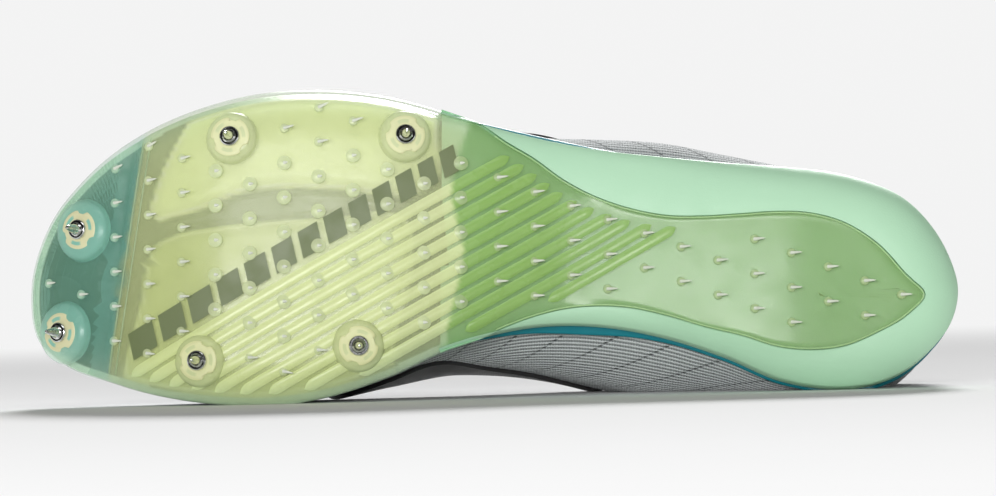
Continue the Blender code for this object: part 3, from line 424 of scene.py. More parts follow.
def grown(loop, distance):
    """The plan loop moved outwards by a distance, which may differ from point to point."""
    return loop + outward(loop) * np.reshape(distance, (-1, 1))


def towards_spine(loop, part):
    """The plan loop drawn in towards the middle of the shoe by this part of the way."""
    low = loop[:, 0].min()
    high = loop[:, 0].max()
    reach = 0.35 * (loop[:, 1].max() - loop[:, 1].min())
    station = np.clip(loop[:, 0], low + reach, high - reach)
    other = np.roll(loop[::-1], 1, axis=0)
    middle = (loop[:, 1] + other[:, 1]) / 2
    return loop + part * (np.column_stack([station, middle]) - loop)


def edge_distance(points, loop):
    """How far each plan point lies from a closed loop, worked out a few points at a time."""
    along = (np.roll(loop, -1, axis=0) - loop)[None]
    found = []
    for first in range(0, len(points), 1500):
        offset = points[first:first + 1500, None] - loop[None]
        part = np.clip((offset * along).sum(2) / (along**2).sum(2), 0, 1)
        found.append(np.linalg.norm(offset - part[..., None] * along, axis=2).min(1))
    return np.concatenate(found)


def inside(points, loop):
    """Whether each plan point lies inside a closed loop."""
    x, y = points[:, :1], points[:, 1:]
    x0, y0 = loop[None, :, 0], loop[None, :, 1]
    x1, y1 = np.roll(x0, -1), np.roll(y0, -1)
    crosses = ((y0 > y) != (y1 > y)) & (x < (x1 - x0) * (y - y0) / (y1 - y0 + 1e-12) + x0)
    return crosses.sum(1) % 2 == 1


FOOT_EDGE = plan_loop(FOOT_PLAN)
PLATE_EDGE = plan_loop(TAIL_PLAN + tuple(row for row in FOOT_PLAN if row[0] > PLATE_JOIN))
FOOT_SHARE = FOOT_EDGE[:, 0] / LENGTH
LATERAL_SIDE = np.arange(len(FOOT_EDGE)) <= SIDE_STEPS


def underside(x):
    return TOE_SPRING * smooth_value(SIDE_PROFILE, 1, x / LENGTH)


def board_top(x):
    return underside(x) + SOLE_STACK * smooth_value(SIDE_PROFILE, 2, x / LENGTH)


def board_underside(x):
    return board_top(x) - BOARD_THICKNESS


def rolled(distance, width, height):
    """Rise of a rounded edge, from nothing at its full width to its height at the edge."""
    nearness = np.clip(1 - distance / width, 0, 1)
    return height * (1 - np.sqrt(1 - nearness**2 * 0.98))


def plate_underside(points):
    share = points[:, 0] / LENGTH
    width = BALL_WIDTH * smooth_value(PLATE_ROLL, 1, share)
    height = SOLE_STACK * smooth_value(PLATE_ROLL, 2, share)
    return underside(points[:, 0]) + rolled(edge_distance(points, PLATE_EDGE), width, height)


def plate_top(points):
    """The plate is thin over the pods and the foam, and fills up to the board under the toes."""
    thin = plate_underside(points) + PLATE_THICKNESS
    full = np.maximum(board_underside(points[:, 0]) - GAP, thin)
    past = points[:, 0] - TOE_FILL_START - TOE_FILL_SLANT * points[:, 1]
    ramp = np.clip(past / TOE_FILL_RAMP, 0, 1)
    return thin + (full - thin) * ramp * ramp * (3 - 2 * ramp)


def foam_underside(points):
    share = points[:, 0] / LENGTH
    lateral = smooth_value(FOAM_ROLL, 1, share)
    medial = smooth_value(FOAM_ROLL, 2, share)
    middle = 0.5 + 0.5 * np.clip((points[:, 1] / BALL_WIDTH + 0.05) / 0.10, -1, 1)
    width = BALL_WIDTH * (medial + (lateral - medial) * middle)
    height = SOLE_STACK * smooth_value(FOAM_ROLL, 3, share)
    return underside(points[:, 0]) + rolled(edge_distance(points, FOOT_EDGE), width, height)


def rest_turn():
    """The turn that lays the shoe on its medial side, with its toe along -X and its heel a little down."""
    lay = Matrix((
        (-1, 0, 0),
        (0, math.sin(REST_TILT), math.cos(REST_TILT)),
        (0, math.cos(REST_TILT), -math.sin(REST_TILT)),
    ))
    return Matrix.Rotation(REST_ROLL, 3, "Y") @ lay


def laid_flat(points):
    """Points that would reach below the floor, pressed level with it."""
    along, across, up = rest_turn()[2]
    lowest = -(AXIS_TO_FLOOR + along * points[..., 0] + up * points[..., 2]) / across
    flat = points.copy()
    flat[..., 1] = np.maximum(points[..., 1], lowest)
    return flat


def at_height(plan, z):
    return np.column_stack([plan, np.broadcast_to(z, len(plan))])


def ring_faces(rings, count, closed=False):
    """Quads between neighbouring rings of points, and from the last to the first of a closed chain."""
    faces = []
    for ring in range(rings if closed else rings - 1):
        low, high = ring * count, (ring + 1) % rings * count
        for step in range(count):
            after = (step + 1) % count
            faces.append((low + step, low + after, high + after, high + step))
    return faces


def cap_faces(first, count):
    """A cap across one ring, from its lateral half to its medial half."""
    half = count // 2
    faces = []
    for step in range(half):
        left, right = step, step + 1
        faces.append(tuple(first + i % count for i in (left, right, count - right, count - left)))
    return faces


def circle(radius, height):
    """A level ring of points. The radius may differ from point to point."""
    angles = 2 * math.pi * np.arange(ROUND_STEPS) / ROUND_STEPS
    return np.column_stack([radius * np.cos(angles), radius * np.sin(angles), np.full(ROUND_STEPS, height)])


def turned_shape(profile, place, axis, steps=ROUND_STEPS):
    """Points and faces of a turned shape, from radius and height pairs that start and end on its axis."""
    points = [(0, 0, profile[0][1])]
    for radius, height in profile[1:-1]:
        for step in range(steps):
            angle = 2 * math.pi * step / steps
            points.append((radius * math.cos(angle), radius * math.sin(angle), height))
    points.append((0, 0, profile[-1][1]))
    faces = [tuple(1 + corner for corner in face) for face in ring_faces(len(profile) - 2, steps)]
    end = len(points) - 1
    for step in range(steps):
        after = (step + 1) % steps
        faces.append((0, 1 + step, 1 + after))
        faces.append((end, end - steps + after, end - steps + step))
    return placed(points, place, axis), faces


def placed(points, place, axis):
    """Local points carried to a place, with their own z along the axis."""
    turn = Vector((0, 0, 1)).rotation_difference(Vector(axis)).to_matrix()
    return [tuple(turn @ Vector(point) + Vector(place)) for point in points]


def plate_normal(point):
    """The direction straight out of the plate's underside at a plan point."""
    step = 0.0005
    near = np.array([point, (point[0] + step, point[1]), (point[0], point[1] + step)])
    z = plate_underside(near)
    return Vector(((z[1] - z[0]) / step, (z[2] - z[0]) / step, -1)).normalized()


def spike_seat(spike):
    """Where a spike meets the plate's underside, and the way that it points."""
    plan = (spike[0] * LENGTH, spike[1] * BALL_WIDTH)
    height = float(plate_underside(np.array([plan]))[0])
    return Vector((*plan, height)), plate_normal(plan)


def board_edge():
    return grown(FOOT_EDGE, BALL_WIDTH * by_side(BOARD_FLARE, 1, 2) - BOARD_INSET)


def by_side(rows, lateral_column, medial_column):
    """A table's value at each point of the sole's edge, from the column of its side."""
    lateral = smooth_value(rows, lateral_column, FOOT_SHARE)
    medial = smooth_value(rows, medial_column, FOOT_SHARE)
    return np.where(LATERAL_SIDE, lateral, medial)


def bezier(ends, t):
    a, b, c, d = ends
    return (1 - t) ** 3 * a + 3 * (1 - t) ** 2 * t * b + 3 * (1 - t) * t**2 * c + t**3 * d


def upper_lines():
    """Feather, widest and edge points of the lines that climb the upper, and the slope at the edge."""
    floor = board_top(FOOT_EDGE[:, 0]) + BOARD_SEAT
    feather_plan = grown(FOOT_EDGE, -FEATHER_INSET)
    feather = at_height(feather_plan, board_top(feather_plan[:, 0]) + BOARD_SEAT)
    widest_plan = grown(FOOT_EDGE, BALL_WIDTH * by_side(UPPER_BULGE, 1, 2))
    widest = at_height(widest_plan, floor + HEEL_COLLAR * by_side(UPPER_BULGE, 3, 4))
    edge_x = LENGTH * smooth_value(UPPER_EDGE, 1, FOOT_SHARE)
    edge_y = BALL_WIDTH * by_side(UPPER_EDGE, 2, 3)
    edge_z = board_top(edge_x) + HEEL_COLLAR * smooth_value(UPPER_EDGE, 4, FOOT_SHARE)
    slope = np.radians(smooth_value(UPPER_EDGE, 5, FOOT_SHARE))
    return feather, widest, np.column_stack([edge_x, edge_y, edge_z]), slope


def upper_skin(heights):
    """Outer points of the upper. Row i, column j lies at heights[i, j] along line i."""
    feather, widest, edge, slope = upper_lines()
    flank = widest - feather
    level = flank * (1, 1, 0)
    rise = flank * (0, 0, 1)
    low = (feather, feather + 0.5 * level + 0.25 * rise, widest - 0.45 * rise, widest)
    top = edge - widest
    inward = unit(top * (1, 1, 0))
    lean = inward * np.cos(slope)[:, None] + np.outer(np.sin(slope), (0, 0, 1))
    length = np.linalg.norm(top, axis=1, keepdims=True)
    high = (widest, widest + 0.5 * top * (0, 0, 1), edge - 0.38 * length * lean, edge)
    t = heights[..., None]
    below = bezier([end[:, None] for end in low], t / BULGE_TURN)
    above = bezier([end[:, None] for end in high], (t - BULGE_TURN) / (1 - BULGE_TURN))
    return laid_flat(np.where(t < BULGE_TURN, below, above))


def grid_normals(grid):
    """Outward normals of a grid whose rows run round the shoe and whose columns climb it."""
    around = np.roll(grid, -1, axis=0) - np.roll(grid, 1, axis=0)
    return unit(np.cross(np.gradient(grid, axis=1), around))


def all_lines(heights):
    return np.broadcast_to(np.asarray(heights, float), (len(FOOT_EDGE), len(heights)))


def overlay_lines():
    """The lines that the overlay covers, in order from the lateral to the medial collar corner."""
    return np.flatnonzero(FOOT_SHARE >= OVERLAY_START)


def throat_sections():
    """Matching lateral and medial lines of the throat, from its toe end up to the collar."""
    lines = overlay_lines()
    half = len(lines) // 2
    return lines[:half][::-1], lines[len(lines) - half:]


def throat_rows(height, offset):
    """Lateral and medial points beside the throat, and their normals, moved out by an offset."""
    heights = all_lines((height - 0.02, height))
    skin = upper_skin(heights)
    normals = grid_normals(skin)[:, 1]
    points = skin[:, 1] + offset * normals
    lateral, medial = throat_sections()
    return points[lateral], points[medial]


def arched(lateral, medial, part, rise):
    """A point part of the way over the throat, on an arch that meets its sides at their slope."""
    middle = lateral + (medial - lateral) * part
    width = np.linalg.norm(medial - lateral, axis=-1)
    lift = width * 0.155 * 4 * part * (1 - part) + rise * (1 - (2 * part - 1) ** 4)
    return middle + np.multiply.outer(lift, np.array((0, 0, 1.0)))


def top_of(shapes):
    """A function that gives the height of the highest of these shapes over a plan point."""
    trees = [BVHTree.FromPolygons([Vector(point) for point in points], faces) for points, faces in shapes]

    def height(point):
        hits = [tree.ray_cast(Vector((point[0], point[1], 1.0)), Vector((0, 0, -1)))[0] for tree in trees]
        return max((hit[2] for hit in hits if hit is not None), default=math.nan)

    return height


def taut(distance, height):
    """The lowest line without a hollow that lies on or over these heights, as a taut lace does."""
    kept = []
    for spot in zip(distance, height):
        while len(kept) > 1:
            rise = (kept[-1][1] - kept[-2][1]) * (spot[0] - kept[-2][0])
            if rise > (spot[1] - kept[-2][1]) * (kept[-1][0] - kept[-2][0]):
                break
            kept.pop()
        kept.append(spot)
    return np.interp(distance, [spot[0] for spot in kept], [spot[1] for spot in kept])


def world(points):
    """Points of the shoe's own frame, carried to where the shoe lies."""
    turn = np.array([list(row) for row in rest_turn()])
    return np.asarray(points, float) @ turn.T + REST_PLACE


def linked(name, data):
    """A new object in the scene."""
    obj = bpy.data.objects.new(name, data)
    bpy.context.collection.objects.link(obj)
    return obj


def add_piece(name, shape, material, stands_for=(), tint=None, uv=None, sharp=50):
    """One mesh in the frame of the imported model, from points and faces in the shoe's frame.

    It is kept above the floor. Its tint is one colour, or one for each point.
    """
    points, faces = shape
    mesh = bpy.data.meshes.new(name)
    mesh.from_pydata(world(laid_flat(np.asarray(points, float))).tolist(), [], faces)
    if tint is not None:
        colours = mesh.color_attributes.new("tint", "FLOAT_COLOR", "POINT")
        tint = np.clip(np.broadcast_to(tint, (len(points), 3)), 0, 1)
        colours.data.foreach_set("color", np.column_stack([tint, np.ones(len(tint))]).ravel())
    if uv is not None:
        layer = mesh.uv_layers.new(name="fit")
        corners = np.empty(len(mesh.loops), dtype=int)
        mesh.loops.foreach_get("vertex_index", corners)
        layer.data.foreach_set("uv", np.asarray(uv, float)[corners].ravel())
    body = bmesh.new()
    body.from_mesh(mesh)
    bmesh.ops.remove_doubles(body, verts=body.verts[:], dist=1e-6)
    bmesh.ops.recalc_face_normals(body, faces=body.faces[:])
    body.to_mesh(mesh)
    body.free()
    mesh.shade_smooth()
    mesh.set_sharp_from_angle(angle=math.radians(sharp))
    mesh.materials.append(material)
    obj = linked(name, mesh)
    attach(obj, "root")
    if stands_for:
        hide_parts(*stands_for)
    return obj


def joined(shapes):
    """Points and faces of several shapes as one."""
    points, faces = [], []
    for shape_points, shape_faces in shapes:
        faces += [tuple(len(points) + corner for corner in face) for face in shape_faces]
        points += [tuple(point) for point in shape_points]
    return np.array(points), faces


def ring_shape(rings):
    """Points and faces of a body whose skin is a chain of rings, capped at both ends."""
    count = len(rings[0])
    faces = ring_faces(len(rings), count) + cap_faces(0, count) + cap_faces((len(rings) - 1) * count, count)
    return np.vstack(rings), faces


def grid_shape(grid, closed=False):
    """Points and faces of an open sheet. A closed one joins up along its rows."""
    rows, columns = grid.shape[:2]
    faces = []
    for row in range(rows if closed else rows - 1):
        here, after = row * columns, (row + 1) % rows * columns
        for column in range(columns - 1):
            faces.append((here + column, after + column, after + column + 1, here + column + 1))
    return grid.reshape(-1, 3), faces


def shell_shape(low, high, closed=False):
    """Points and faces of a body between two grids of points."""
    rows, columns = low.shape[:2]
    top = rows * columns
    faces = []
    for row in range(rows if closed else rows - 1):
        here, after = row * columns, (row + 1) % rows * columns
        for column in range(columns - 1):
            quad = (here + column, after + column, after + column + 1, here + column + 1)
            faces.append(quad)
            faces.append(tuple(top + corner for corner in quad[::-1]))
        end = columns - 1
        faces.append((here, top + here, top + after, after))
        faces.append((here + end, after + end, top + after + end, top + here + end))
    if not closed:
        for row in (0, rows - 1):
            for column in range(columns - 1):
                here = row * columns + column
                faces.append((here, here + 1, top + here + 1, top + here))
    return np.vstack([low.reshape(-1, 3), high.reshape(-1, 3)]), faces


def tube_shape(path, radius, sides=10, closed=True):
    """Points and faces of a round bead along a path. The radius may differ from point to point."""
    path = np.asarray(path, float)
    along = np.roll(path, -1, axis=0) - np.roll(path, 1, axis=0) if closed else np.gradient(path, axis=0)
    along = unit(along)
    side = unit(np.cross(along, (0, 0, 1.0)))
    up = np.cross(side, along)
    angles = 2 * math.pi * np.arange(sides) / sides
    reach = np.broadcast_to(radius, len(path))[:, None, None]
    rings = path[:, None] + reach * (np.cos(angles)[None, :, None] * side[:, None]
                                     + np.sin(angles)[None, :, None] * up[:, None])
    faces = ring_faces(len(path), sides, closed)
    if not closed:
        faces.append(tuple(range(sides)))
        faces.append(tuple(range((len(path) - 1) * sides, len(path) * sides)))
    return rings.reshape(-1, 3), faces


# Materials

def put(tree, kind, inputs=None, **settings):
    """A node with its settings, and its inputs linked or set."""
    made = tree.nodes.new(kind)
    for key, value in settings.items():
        setattr(made, key, value)
    for socket, value in (inputs or {}).items():
        if isinstance(value, bpy.types.NodeSocket):
            tree.links.new(value, made.inputs[socket])
        else:
            made.inputs[socket].default_value = value
    return made


def calc(tree, operation, first, second=0.0, third=0.0):
    return put(tree, "ShaderNodeMath", {0: first, 1: second, 2: third}, operation=operation).outputs[0]


def step_up(tree, value, low, high, start=0.0, end=1.0):
    """From start to end, smoothly, as the value goes from low to high."""
    inputs = {"Value": value, "From Min": low, "From Max": high, "To Min": start, "To Max": end}
    return put(tree, "ShaderNodeMapRange", inputs, interpolation_type="SMOOTHSTEP").outputs["Result"]


def blend_colours(tree, part, first, second):
    node = put(tree, "ShaderNodeMix", {0: part}, data_type="RGBA")
    for socket, value in ((6, first), (7, second)):
        if isinstance(value, bpy.types.NodeSocket):
            tree.links.new(value, node.inputs[socket])
        else:
            node.inputs[socket].default_value = (*value, 1.0)
    return node.outputs[2]


def wave(tree, value, pitch):
    turns = calc(tree, "MULTIPLY", value, 2 * math.pi / pitch)
    return calc(tree, "SINE", turns)


def fit_axes(tree):
    """Distances along the foot and up the wall."""
    fit = put(tree, "ShaderNodeUVMap", uv_map="fit").outputs["UV"]
    return put(tree, "ShaderNodeSeparateXYZ", {0: fit}).outputs


def painted(tree):
    return put(tree, "ShaderNodeAttribute", attribute_name="tint").outputs


def noise(tree, place, scale, detail=3.0):
    inputs = {"Vector": place, "Scale": scale, "Detail": detail}
    return put(tree, "ShaderNodeTexNoise", inputs).outputs["Fac"]


def bump(tree, height, distance, strength=1.0, normal=None):
    inputs = {"Height": height, "Distance": distance, "Strength": strength}
    if normal is not None:
        inputs["Normal"] = normal
    return put(tree, "ShaderNodeBump", inputs).outputs["Normal"]


def new_material(name, roughness, **sockets):
    """A material, its node tree and its shader, with plain values on the shader's own sockets."""
    material = bpy.data.materials.new(name)
    material.use_nodes = True
    tree = material.node_tree
    shader = tree.nodes["Principled BSDF"]
    shader.inputs["Roughness"].default_value = roughness
    for socket, value in sockets.items():
        shader.inputs[socket.replace("_", " ")].default_value = value
    return material, tree, shader


def link(tree, socket, shader, name):
    tree.links.new(socket, shader.inputs[name])


def object_place(tree):
    return put(tree, "ShaderNodeTexCoord").outputs["Object"]


def moulded(name, colour, spread, roughness, grain, grain_depth, **sockets):
    """Moulded plastic or foam: uneven in colour and gloss, with a fine grain, painted if it has no colour."""
    material, tree, shader = new_material(name, roughness, **sockets)
    place = object_place(tree)
    base = painted(tree)["Color"] if colour is None else colour
    cloudy = noise(tree, place, 38.0, 4.0)
    shade = calc(tree, "MULTIPLY_ADD", cloudy, 2 * spread, 1.0 - spread)
    scaled = put(tree, "ShaderNodeVectorMath", {0: base, "Scale": shade}, operation="SCALE")
    link(tree, scaled.outputs[0], shader, "Base Color")
    fine = noise(tree, place, grain, 3.0)
    worn = step_up(tree, noise(tree, place, 120.0, 5.0), 0.35, 0.75, roughness - 0.05, roughness + 0.12)
    link(tree, worn, shader, "Roughness")
    link(tree, bump(tree, fine, grain_depth), shader, "Normal")
    return material


def knit(name, light, dark, lines=0.0015, seams=True, **sockets):
    """Fine knit: raised lines along the foot, small stitches in each, and slanting rows of holes."""
    material, tree, shader = new_material(name, 0.85, **sockets)
    along, up = fit_axes(tree)[:2]
    waver = calc(tree, "MULTIPLY_ADD", noise(tree, object_place(tree), 60.0, 2.0), 0.0006, up)
    course = wave(tree, waver, lines)
    stitch = wave(tree, along, 0.55 * lines)
    ridge = calc(tree, "MULTIPLY_ADD", stitch, 0.35, course)
    height = step_up(tree, ridge, -1.2, 1.2)
    shade = blend_colours(tree, step_up(tree, ridge, -1.1, 0.4), dark, light)
    if seams:
        slant = calc(tree, "MULTIPLY_ADD", up, SEAM_SLANT, along)
        curved = calc(tree, "MULTIPLY_ADD", calc(tree, "MULTIPLY", up, up), SEAM_CURVE, slant)
        spot = calc(tree, "PINGPONG", calc(tree, "ABSOLUTE", curved), SEAM_PITCH / 2)
        near = step_up(tree, spot, 0.0003, 0.0007, 1.0, 0.0)
        dots = wave(tree, up, SEAM_DOT_PITCH)
        holes = calc(tree, "MULTIPLY", near, step_up(tree, dots, -0.1, 0.5))
        shade = blend_colours(tree, calc(tree, "MULTIPLY", near, 0.30), shade, dark)
        shade = blend_colours(tree, holes, shade, tuple(0.35 * value for value in dark))
        height = calc(tree, "SUBTRACT", height, holes)
    link(tree, shade, shader, "Base Color")
    link(tree, bump(tree, height, 0.0004, 0.9), shader, "Normal")
    return material


def overlay_material():
    """Thin black film bonded on knit, with a fine weave and a dull sheen."""
    material, tree, shader = new_material("overlay", 0.5, Sheen_Weight=0.25)
    along, up = fit_axes(tree)[:2]
    height = calc(tree, "MULTIPLY", wave(tree, along, 0.0011), wave(tree, up, 0.0009))
    shade = blend_colours(tree, step_up(tree, height, -0.6, 0.8), FILM_DARK, FILM_LIGHT)
    link(tree, shade, shader, "Base Color")
    rough = step_up(tree, noise(tree, object_place(tree), 90.0), 0.3, 0.8, 0.38, 0.60)
    link(tree, rough, shader, "Roughness")
    link(tree, bump(tree, height, 0.00012), shader, "Normal")
    return material


def woven(name, light, dark, pitch=0.0007):
    """Flat woven or textile surface, from two crossing sets of threads."""
    material, tree, shader = new_material(name, 0.9, Sheen_Weight=0.2)
    turned = {"Vector": object_place(tree), "Rotation": (0.6, 0.4, 0.5)}
    place = put(tree, "ShaderNodeMapping", turned).outputs[0]
    axes = put(tree, "ShaderNodeSeparateXYZ", {0: place}).outputs
    height = calc(tree, "MULTIPLY", wave(tree, axes[0], pitch), wave(tree, axes[2], pitch))
    cloudy = noise(tree, place, 70.0, 4.0)
    part = calc(tree, "MULTIPLY", step_up(tree, height, -0.8, 0.5), step_up(tree, cloudy, 0.1, 0.6))
    link(tree, blend_colours(tree, part, dark, light), shader, "Base Color")
    link(tree, bump(tree, height, 0.0002), shader, "Normal")
    return material


def steel_material():
    """Bright turned steel, with fine rings and a few scuffs, turned black where its tint is dark: a painted
    dark reflection.
    """
    material, tree, shader = new_material("spike_steel", 0.16, Metallic=1.0)
    place = object_place(tree)
    scuffs = step_up(tree, noise(tree, place, 900.0, 6.0), 0.45, 0.75)
    metal = blend_colours(tree, scuffs, STEEL_BRIGHT, STEEL_DULL)
    # A dark tint turns the steel black: painted dark reflection in the spikes' flange grooves
    link(tree, blend_colours(tree, painted(tree)["Fac"], (0.0, 0.0, 0.0), metal), shader, "Base Color")
    link(tree, step_up(tree, scuffs, 0.0, 1.0, 0.12, 0.30), shader, "Roughness")
    link(tree, bump(tree, noise(tree, place, 2600.0), 0.00002), shader, "Normal")
    return material


# Sole

def zone_tint(points):
    """Colour of the plate at plan points: teal toe, yellow-green forefoot, green tail. The forefoot is
    painted lighter towards the lateral side and darker towards the medial side: painted light from above.
    """
    toe_line = TOE_FILL_START + TOE_FILL_SLANT * points[:, 1]
    toe = np.clip((points[:, 0] - toe_line) / ZONE_BLUR + 0.5, 0, 1)[:, None]
    rear = np.interp(points[:, 1], [place[0] for place in REAR_EDGE], [place[1] for place in REAR_EDGE])
    tail = np.clip((rear - points[:, 0]) / ZONE_BLUR + 0.5, 0, 1)[:, None]
    # Painted light: the forefoot grows lighter towards the lateral side, which lies uppermost, and darker
    # towards the medial side
    side = np.clip(points[:, 1:2] / BALL_WIDTH + 0.5, 0, 1)
    fore = np.array(FORE_SHADED_MEDIAL) * (1 - side) + np.array(FORE_LIT_LATERAL) * side
    tint = fore * (1 - tail) + np.array(TAIL_TINT) * tail
    tint = tint * (1 - toe) + np.array(TOE_TINT) * toe
    near = np.exp(-edge_distance(points[:, :2], PLATE_EDGE) / RIM_SPREAD)[:, None]
    rim = RIM_STRENGTH * near * (1 - tail)
    return tint * (1 - rim) + np.array(RIM_TINT) * rim


def make_plate_skin(material):
    """The plate: underside, rounded edge and upper face in one body."""
    loops = [towards_spine(PLATE_EDGE, part) for part in SKIN_PARTS]
    below = [laid_flat(at_height(loop, plate_underside(loop))) for loop in loops[::-1]]
    roof = [laid_flat(at_height(loop, plate_top(loop))) for loop in loops]
    shape = ring_shape(below + roof)
    add_piece("plate_skin", shape, material, ("outsole_plate",), tint=zone_tint(shape[0]))


def bar_shape(start, end, width, height):
    """A low rounded bar on the plate's underside, tapered at both ends."""
    along = unit(end - start)
    side = np.array((-along[1], along[0]))
    length = np.linalg.norm(end - start)
    count = max(6, int(length / BAR_STEP))
    reach = np.linspace(0, length, count)
    full = np.sqrt(np.clip(np.minimum(reach, length - reach) / (0.8 * width), 0, 1))
    full = np.maximum(full, 0.05)
    profile = []
    for across in np.linspace(-1, 1, 7):
        plan = start + reach[:, None] * along + (across * width / 2 * full)[:, None] * side
        crown = height * full * math.sqrt(1 - 0.97 * across**2) - 0.0001
        profile.append(at_height(plan, plate_underside(plan) - crown))
    return grid_shape(np.stack(profile, axis=1))


def rib_ends(rib):
    """Both ends of a rib's centre line, inside the plate's edge."""
    along = np.array([-math.cos(RIB_ANGLE), math.sin(RIB_ANGLE)])
    across = np.array([-math.sin(RIB_ANGLE), -math.cos(RIB_ANGLE)])
    middle = np.array(RIB_START) + across * RIB_PITCH * (rib + 0.5)
    reach = np.arange(-LENGTH, LENGTH, 0.0005)
    line = middle + reach[:, None] * along
    held = inside(line, PLATE_EDGE) & (edge_distance(line, PLATE_EDGE) > RIB_MARGIN)
    return line[held][0], line[held][-1]


def clear_of_bosses(points, room):
    """Whether plan points lie outside the bosses by this much."""
    clear = np.ones(len(points), bool)
    for spike in SPIKES:
        centre = np.array((spike[0] * LENGTH, spike[1] * BALL_WIDTH))
        clear &= np.linalg.norm(points - centre, axis=1) > spike[2] + room
    return clear


def make_rib_bars(material):
    shape = joined([bar_shape(*rib_ends(rib), RIB_WIDTH, RIB_HEIGHT) for rib in range(RIB_COUNT)])
    add_piece("plate_ribs", shape, material, tint=zone_tint(shape[0]) * RIB_LIGHTER)


def make_toe_lines(material):
    """The thin double line round the toe zone, and the line behind the forefoot."""
    shapes = []
    for shift in TOE_LINE_SHIFTS:
        ends = []
        for side in (0.5, -0.5):
            across = np.linspace(0, side * BALL_WIDTH, 400)
            line = np.column_stack([TOE_FILL_START + TOE_FILL_SLANT * across + shift, across])
            held = inside(line, PLATE_EDGE) & (edge_distance(line, PLATE_EDGE) > 0.002)
            ends.append(line[held][-1])
        shapes.append(bar_shape(ends[0], ends[1], 0.0005, 0.0003))
    add_piece("toe_lines", joined(shapes), material, tint=LINE_TINT)


def make_tail_bead(material):
    """The thin rounded rim that the plate's tail carries."""
    edge = grown(PLATE_EDGE, -0.0003)
    path = laid_flat(at_height(edge, plate_underside(edge)))
    keep = path[:, 0] < BEAD_END * LENGTH
    heel = np.flatnonzero(~keep)
    order = np.roll(np.arange(len(path)), len(path) - heel[-1] - 1)
    line = path[order][: int(keep.sum())]
    bead = tube_shape(line, 0.0003, 8, closed=False)
    add_piece("tail_rim", bead, material, tint=BEAD_TINT)


def make_bosses(material):
    shapes = []
    for spike in SPIKES:
        seat, down = spike_seat(spike)
        rings = [placed(circle(part * spike[2], rise * BOSS_HEIGHT), seat, down) for part, rise in BOSS_ROWS]
        shapes.append((np.vstack(rings), ring_faces(len(rings), ROUND_STEPS)))
    shape = joined(shapes)
    tint = zone_tint(shape[0]) * BOSS_LIGHTER + 0.03
    add_piece("spike_bosses", shape, material, tint=tint)


def make_washers(material):
    """Three-lobed inserts with three slots round the spikes' studs, at the bosses' crowns. The slots show the
    boss's colour painted darker: painted shade.
    """
    shapes, tints = [], []
    angles = 2 * math.pi * np.arange(ROUND_STEPS) / ROUND_STEPS
    for number, spike in enumerate(SPIKES, 1):
        seat, down = spike_seat(spike)
        phase = WASHER_TURN * number
        notch = np.clip(np.cos(3 * (angles + phase)) * 4 - 2.6, 0, 1)
        slot = np.clip(-np.cos(3 * (angles + phase)) * 5 - 1.5, 0, 1)
        base = zone_tint(np.array([(spike[0] * LENGTH, spike[1] * BALL_WIDTH)]))[0]
        faint = WASHER_FAINTNESS[spike[0] < WASHER_FAINT_BEHIND]
        colour = np.array(WASHER_COLOUR) * (1 - faint) + base * faint
        rings = []
        for part, rise in WASHER_ROWS:
            reach = part * WASHER_RADIUS * (1 - 0.16 * notch * (part > 0.85))
            rings.append(placed(circle(reach, rise * BOSS_HEIGHT), seat, down))
            # The slots take the boss's colour darkened: painted shade in the slots
            shaded_slot = (slot if WASHER_SLOT[0] < part < WASHER_SLOT[1] else 0 * slot)[:, None]
            tints.append(colour * (1 - shaded_slot) + 0.8 * base * shaded_slot)
        shapes.append((np.vstack(rings), ring_faces(len(rings), ROUND_STEPS)))
    nodes = tuple(f"receptacle_{number}" for number in range(1, len(SPIKES) + 1))
    add_piece("spike_inserts", joined(shapes), material, nodes, tint=np.vstack(tints))


def make_spikes(material):
    """Turned steel cones with a flange, two wrench flats and a small blunt tip. The groove on the flange's
    top is painted black: a painted dark reflection.
    """
    for number, spike in enumerate(SPIKES, 1):
        place, down = spike_seat(spike)
        seat = place + down * (BOSS_HEIGHT + GAP)
        rim = SPIKE_FLANGE_THICKNESS
        profile = [(0, -STUD_LENGTH), (STUD_RADIUS, -STUD_LENGTH), (STUD_RADIUS, 0),
                   (0.97 * SPIKE_FLANGE_RADIUS, 0), (SPIKE_FLANGE_RADIUS, 0.15 * rim),
                   (SPIKE_FLANGE_RADIUS, 0.6 * rim), (0.96 * SPIKE_FLANGE_RADIUS, 0.85 * rim),
                   (0.88 * SPIKE_FLANGE_RADIUS, rim), (0.86 * SPIKE_FLANGE_RADIUS, 0.55 * rim),
                   (1.06 * SPIKE_RADIUS, 0.55 * rim), (1.04 * SPIKE_RADIUS, 1.02 * rim),
                   (0.97 * SPIKE_RADIUS, 1.3 * rim)]
        for part in np.linspace(0.25, 0.94, 10):
            radius = SPIKE_TIP_RADIUS + (0.97 * SPIKE_RADIUS - SPIKE_TIP_RADIUS) * (1 - part) ** 0.92
            profile.append((radius, part * SPIKE_LENGTH))
        profile += [(0.8 * SPIKE_TIP_RADIUS, 0.985 * SPIKE_LENGTH), (0, SPIKE_LENGTH)]
        points, faces = turned_shape(profile, (0, 0, 0), (0, 0, 1), 48)
        shaped = []
        for x, y, z in points:
            flat = 0.86 * SPIKE_RADIUS
            if rim * 1.2 < z < 0.45 * SPIKE_LENGTH:
                y = max(-flat, min(flat, y))
            shaped.append((x, y, z))
        shaped = np.array(shaped)
        out = np.linalg.norm(shaped[:, :2], axis=1)
        # The groove on the flange's top is painted black: a painted dark reflection
        dark_reflection_groove = (out > 1.05 * SPIKE_RADIUS) & (out < 0.87 * SPIKE_FLANGE_RADIUS)
        tint = np.where(dark_reflection_groove & (shaped[:, 2] > 0.5 * rim), 0.06, 1.0)[:, None]
        add_piece(f"spike_cone_{number}", (placed(shaped, seat, down), faces), material,
                  (f"spike_{number}",), tint=tint, sharp=35)


